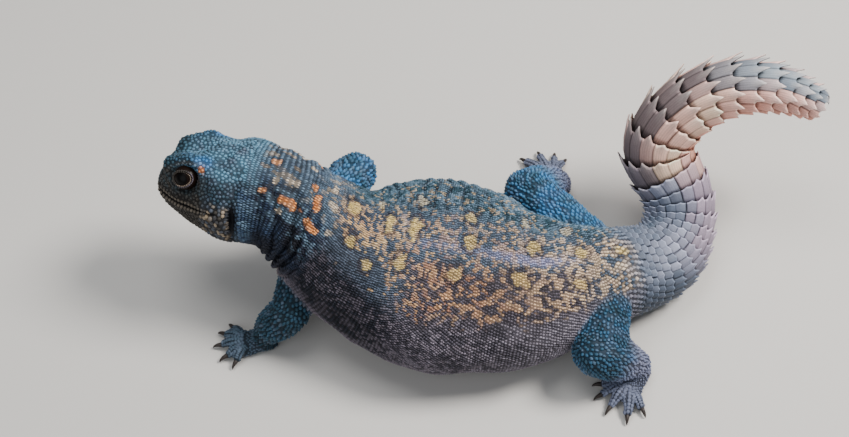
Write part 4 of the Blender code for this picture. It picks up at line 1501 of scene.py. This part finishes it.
def tail_scales(coat):
    """Rings of plates, each standing out over the next, flat at the root and then ribbed and spined."""
    draw = np.random.default_rng(74)
    edges = ring_edges()
    along, across, triangles = plate_grid()
    ribs = np.cos(6 * math.pi * across)
    sides = np.abs(across)
    for k, (start, end) in enumerate(zip(edges, edges[1:])):
        pitch = end - start
        late = float(ramp(end, *RIBBED))
        count = round(float(np.interp(end, *RING_PLATES)))
        shifted = 0.5 * (k % 2) * (late < 0.5)
        turns = (np.arange(count) + shifted) / count * 2 * math.pi + draw.uniform(-0.02, 0.02, count)
        back = np.cos(tail_turn(end, turns))
        tip = float(ramp(end, *SPINED_ROUND))
        spined = ramp(back, 0.05 - 0.6 * tip, 0.75 - 0.5 * tip)
        stand = sections_at(end)[0, 3] / 14.0
        sharp = late * spined * (0.40 + 0.60 * float(ramp(end, *LONG_SPINED)))
        reach = (0.10 + 0.01 * late + 0.34 * sharp) * draw.uniform(0.8, 1.15, count)
        lift = (0.25 + 3.4 * sharp) * stand * draw.uniform(0.8, 1.15, count)
        edgy = (1 - late) * ramp(np.abs(np.cos(turns)), 0.35, 0.8) * float(ramp(end, *SIDE_SPINED))
        reach, lift = reach + 0.22 * edgy, lift + 0.9 * edgy
        peak = np.clip(1 - sides / 0.60, 0, 1)
        edge = ramp(along, 0.55, 1.0)
        place = start + pitch * (along[None] + reach[:, None] * peak[None] * edge[None])
        turn = turns[:, None] + across[None] * math.pi / count * 0.985
        height = -0.90 + (0.75 + 0.75 * late) * along + 0.26 * (1 - sides) ** 0.8 - 0.22 * (sides > 0.9)
        height = height + 0.12 * late * ribs * (1 - peak * edge)
        height = height[None] + lift[:, None] * (peak * edge ** 2)[None] * 0.8
        under = np.minimum(height - 0.55, -0.5)
        under = np.where(along[None] > 0.8, height - 0.5, under)
        place = np.minimum(place, LENGTH - 0.3)
        top, below = (body_points(place.ravel(), turn.ravel(), out.ravel()).reshape(count, -1, 3)
                      for out in (height, under))
        points = np.concatenate([top, below], axis=1)
        middle = locate(top[:, len(along) // 2])
        middle = middle._replace(limbness=np.zeros(count), angle=turns)
        colours = marking(middle) * (1 + 0.14 * draw.uniform(-1, 1, count))[:, None]
        # Painted shading on the plates: darker at each plate's root, where the ring before overlaps it,
        # and along its sides between plates, lighter towards its rear edge and along its ribs, and
        # brighter on the pink plates; the lightest rear edge is partly the plates' pale rims and partly
        # a painted highlight.
        shade = 0.56 + (0.20 - 0.16 * float(ramp(end, 285, 310))) * late + 0.44 * along
        shade = shade + (0.75 - 0.45 * late) * (along > 0.95) + 0.10 * late * ribs
        shade = shade * (1 - 0.45 * (sides > 0.9)) * (1 - 0.45 * (along < 0.1))
        tinted = colours[:, None] * shade[None, :, None]
        bare = 0.60 * sharp[:, None] * (peak * ramp(along, 0.7, 1.0))[None]
        tinted = tinted + (PALE * 0.9 - tinted) * bare[..., None]
        # The under sheets are painted darker, as shade beneath the plates.
        tinted = np.concatenate([tinted, np.repeat(colours[:, None] * 0.4, len(along), axis=1)], axis=1)
        local = np.tile(np.column_stack([along * 2 - 1, across]), (2, 1)) * PATCH
        coat.add(points, triangles, tinted, flat_place(middle)[:, None] + local[None])


def make_eye(side, name, material):
    """A whole eyeball that faces out between the lids, with a black pupil."""
    centre, out, back, rise = eye_frame(side)
    rings, around = 40, 56
    polar = np.linspace(0, math.pi, rings + 2)[1:-1]
    turns = whole_turn(around)
    p, t = grid_of(polar, turns)
    ways = (np.outer(np.cos(p), out) + np.outer(np.sin(p) * np.cos(t), back)
            + np.outer(np.sin(p) * np.sin(t), rise))
    poles = [centre + out * EYE_RADIUS, centre - out * EYE_RADIUS]
    points = np.vstack([centre + ways * EYE_RADIUS, poles])
    faces = []
    for k in range(rings - 1):
        for i in range(around):
            j = (i + 1) % around
            faces.append((k * around + i, (k + 1) * around + i, (k + 1) * around + j, k * around + j))
    for i in range(around):
        j = (i + 1) % around
        faces.append((rings * around, i, j))
        faces.append((rings * around + 1, (rings - 1) * around + j, (rings - 1) * around + i))
    if side < 0:
        faces = [face[::-1] for face in faces]
    eye = add_mesh(name, points, faces)
    pupil, iris = colour(6, 5, 5), colour(24, 15, 11)
    paint_points(eye.data, mix(pupil, iris, ramp(np.append(p, (0.0, math.pi)), 0.42, 0.60)))
    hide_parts("eye_left" if side > 0 else "eye_right")
    finish_piece(eye, material)


def claw_shell(digit):
    """A pointed claw that leaves the digit's end and bends down to the floor."""
    steps = np.linspace(0, 1, 8)
    start = digit.end - digit.way * 0.9
    places = [start + digit.way * (0.9 + CLAW_LENGTH) * math.sin(1.35 * t) / math.sin(1.35)
              - np.array((0, 0, 1.5)) * t ** 2 + np.array((0, 0, 0.5)) * math.sin(math.pi * t)
              for t in steps]
    radii = [1.05 * (1 - t) ** 0.75 + 0.06 for t in steps]
    points, faces = shell(tube_rings(places, radii, 10))
    points[:, 2] = np.maximum(points[:, 2], 0.05)
    return points, faces


def make_claws(material):
    points, faces = joined([claw_shell(digit) for digit in DIGITS])
    claws = add_mesh("claws", points, faces)
    paint_points(claws.data, np.tile(colour(52, 46, 44), (len(points), 1)))
    finish_piece(claws, material)


# Materials: the grains of a fine mottling to the metre, the share of the marking that it leaves at
# its darkest and lightest, and the strength of its relief.
GRAIN = 1800.0
MOTTLE = (0.80, 1.20)
RELIEF = 0.6


def marked_material(name, roughness, shine=0.22, bump_height=0.00006):
    """A skin material that takes its colour from the marking painted on the mesh."""
    material = bpy.data.materials.new(name)
    material.use_nodes = True
    nodes, links = material.node_tree.nodes, material.node_tree.links
    shader = nodes["Principled BSDF"]
    shader.inputs["Roughness"].default_value = roughness
    shader.inputs["Specular IOR Level"].default_value = shine
    painted = nodes.new("ShaderNodeAttribute")
    painted.attribute_name = "Marking"
    place = nodes.new("ShaderNodeTexCoord")
    noise = nodes.new("ShaderNodeTexNoise")
    noise.inputs["Scale"].default_value = GRAIN
    noise.inputs["Detail"].default_value = 3.0
    links.new(place.outputs["Object"], noise.inputs["Vector"])
    tone = nodes.new("ShaderNodeMapRange")
    tone.inputs["To Min"].default_value, tone.inputs["To Max"].default_value = MOTTLE
    links.new(noise.outputs["Fac"], tone.inputs["Value"])
    tinted = nodes.new("ShaderNodeVectorMath")
    tinted.operation = "SCALE"
    links.new(painted.outputs["Color"], tinted.inputs["Vector"])
    links.new(tone.outputs["Result"], tinted.inputs["Scale"])
    links.new(tinted.outputs["Vector"], shader.inputs["Base Color"])
    relief = nodes.new("ShaderNodeBump")
    relief.inputs["Distance"].default_value = bump_height
    relief.inputs["Strength"].default_value = RELIEF
    links.new(noise.outputs["Fac"], relief.inputs["Height"])
    links.new(relief.outputs["Normal"], shader.inputs["Normal"])
    return material


# The camera's angle above the target and its distance, its sensor's width in millimetres, and the
# photo's focal length and width in pixels.
CAMERA_RISE = math.radians(53.0)
CAMERA_AWAY = 0.55
SENSOR = 36.0
FOCUS = 1375.0
PHOTO_WIDTH = 849.0
TARGET = SHIFT + np.array((0.0, 0.0, 0.02))


def make_camera():
    data = bpy.data.cameras.new("camera")
    data.sensor_width = SENSOR
    data.lens = SENSOR * FOCUS / PHOTO_WIDTH
    camera = add_object("camera", data)
    way = np.array((0, -math.cos(CAMERA_RISE), math.sin(CAMERA_RISE)))
    camera.location = TARGET + CAMERA_AWAY * way
    camera.rotation_euler = (math.pi / 2 - CAMERA_RISE, 0, 0)
    bpy.context.scene.camera = camera


# Each light's name, place, size, power in watts, and tint.
LIGHTS = (
    ("key", (0.48, 0.06, 0.75), 0.32, 11.0, (1.0, 0.97, 0.93)),
    ("fill", (-0.5, -0.7, 0.6), 0.9, 3.0, (0.92, 0.96, 1.0)),
    ("top", (-0.15, 0.1, 0.9), 0.5, 3.5, (1, 1, 1)),
)
SKY_LIGHT = (0.80, 0.84, 0.90, 1)
SKY_POWER = 0.26
FLOOR_TONE = (0.62, 0.60, 0.57, 1)
FLOOR_HALF = 3.0


def area_light(name, place, size, power, tint):
    data = bpy.data.lights.new(name, "AREA")
    data.shape = "DISK"
    data.size = size
    data.energy = power
    data.color = tint
    light = add_object(name, data)
    light.location = place
    aim = Vector(TARGET) - Vector(place)
    light.rotation_euler = aim.to_track_quat("-Z", "Y").to_euler()


def make_studio():
    """Three soft lights and a pale sky over a plain floor."""
    for light in LIGHTS:
        area_light(*light)
    world = bpy.data.worlds.new("studio")
    world.use_nodes = True
    backdrop = world.node_tree.nodes["Background"]
    backdrop.inputs["Color"].default_value = SKY_LIGHT
    backdrop.inputs["Strength"].default_value = SKY_POWER
    bpy.context.scene.world = world
    corners = np.array([(-1, -1, 0), (1, -1, 0), (1, 1, 0), (-1, 1, 0)]) * FLOOR_HALF / MM
    floor = add_mesh("floor", corners - SHIFT / MM, [(0, 1, 2, 3)])
    material = bpy.data.materials.new("pale_floor")
    material.use_nodes = True
    shader = material.node_tree.nodes["Principled BSDF"]
    shader.inputs["Base Color"].default_value = FLOOR_TONE
    shader.inputs["Roughness"].default_value = 0.9
    floor.data.materials.append(material)


def main():
    make_camera()
    make_studio()
    skin = make_skin()
    surface = Surface(skin)
    # The skin between the scales is painted darker, as shade in the gaps, and less so round the lids.
    painted_gap_shade = GAP_PAINTED_SHADE + (LID_PAINTED_SHADE - GAP_PAINTED_SHADE) * fall(near_lids(surface.points), 1.6, 2.2)
    paint_points(skin.data, marking(surface.places) * painted_gap_shade[:, None])
    flesh = [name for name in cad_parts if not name.startswith("eye_")]
    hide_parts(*flesh)
    finish_piece(skin, marked_material("skin", 0.7))
    scaly = marked_material("scales", 0.58)
    trunk = Coat("trunk_scales", "body_skin", scaly)
    trunk_scales(surface, trunk)
    head = Coat("head_scales", "head_skin", scaly)
    head_scales(surface, head)
    edge_scales(surface, head)
    limbs = Coat("limb_scales", "limb_skin", scaly)
    limb_scales(surface, limbs)
    tail = Coat("tail_plates", "tail_scale", scaly)
    tail_scales(tail)
    for coat in (trunk, head, limbs, tail):
        coat.make()
    glossy = marked_material("eye", 0.30, 0.10, 0.0)
    make_eye(1, "eyeball_left", glossy)
    make_eye(-1, "eyeball_right", glossy)
    make_claws(marked_material("claw", 0.4))


main()
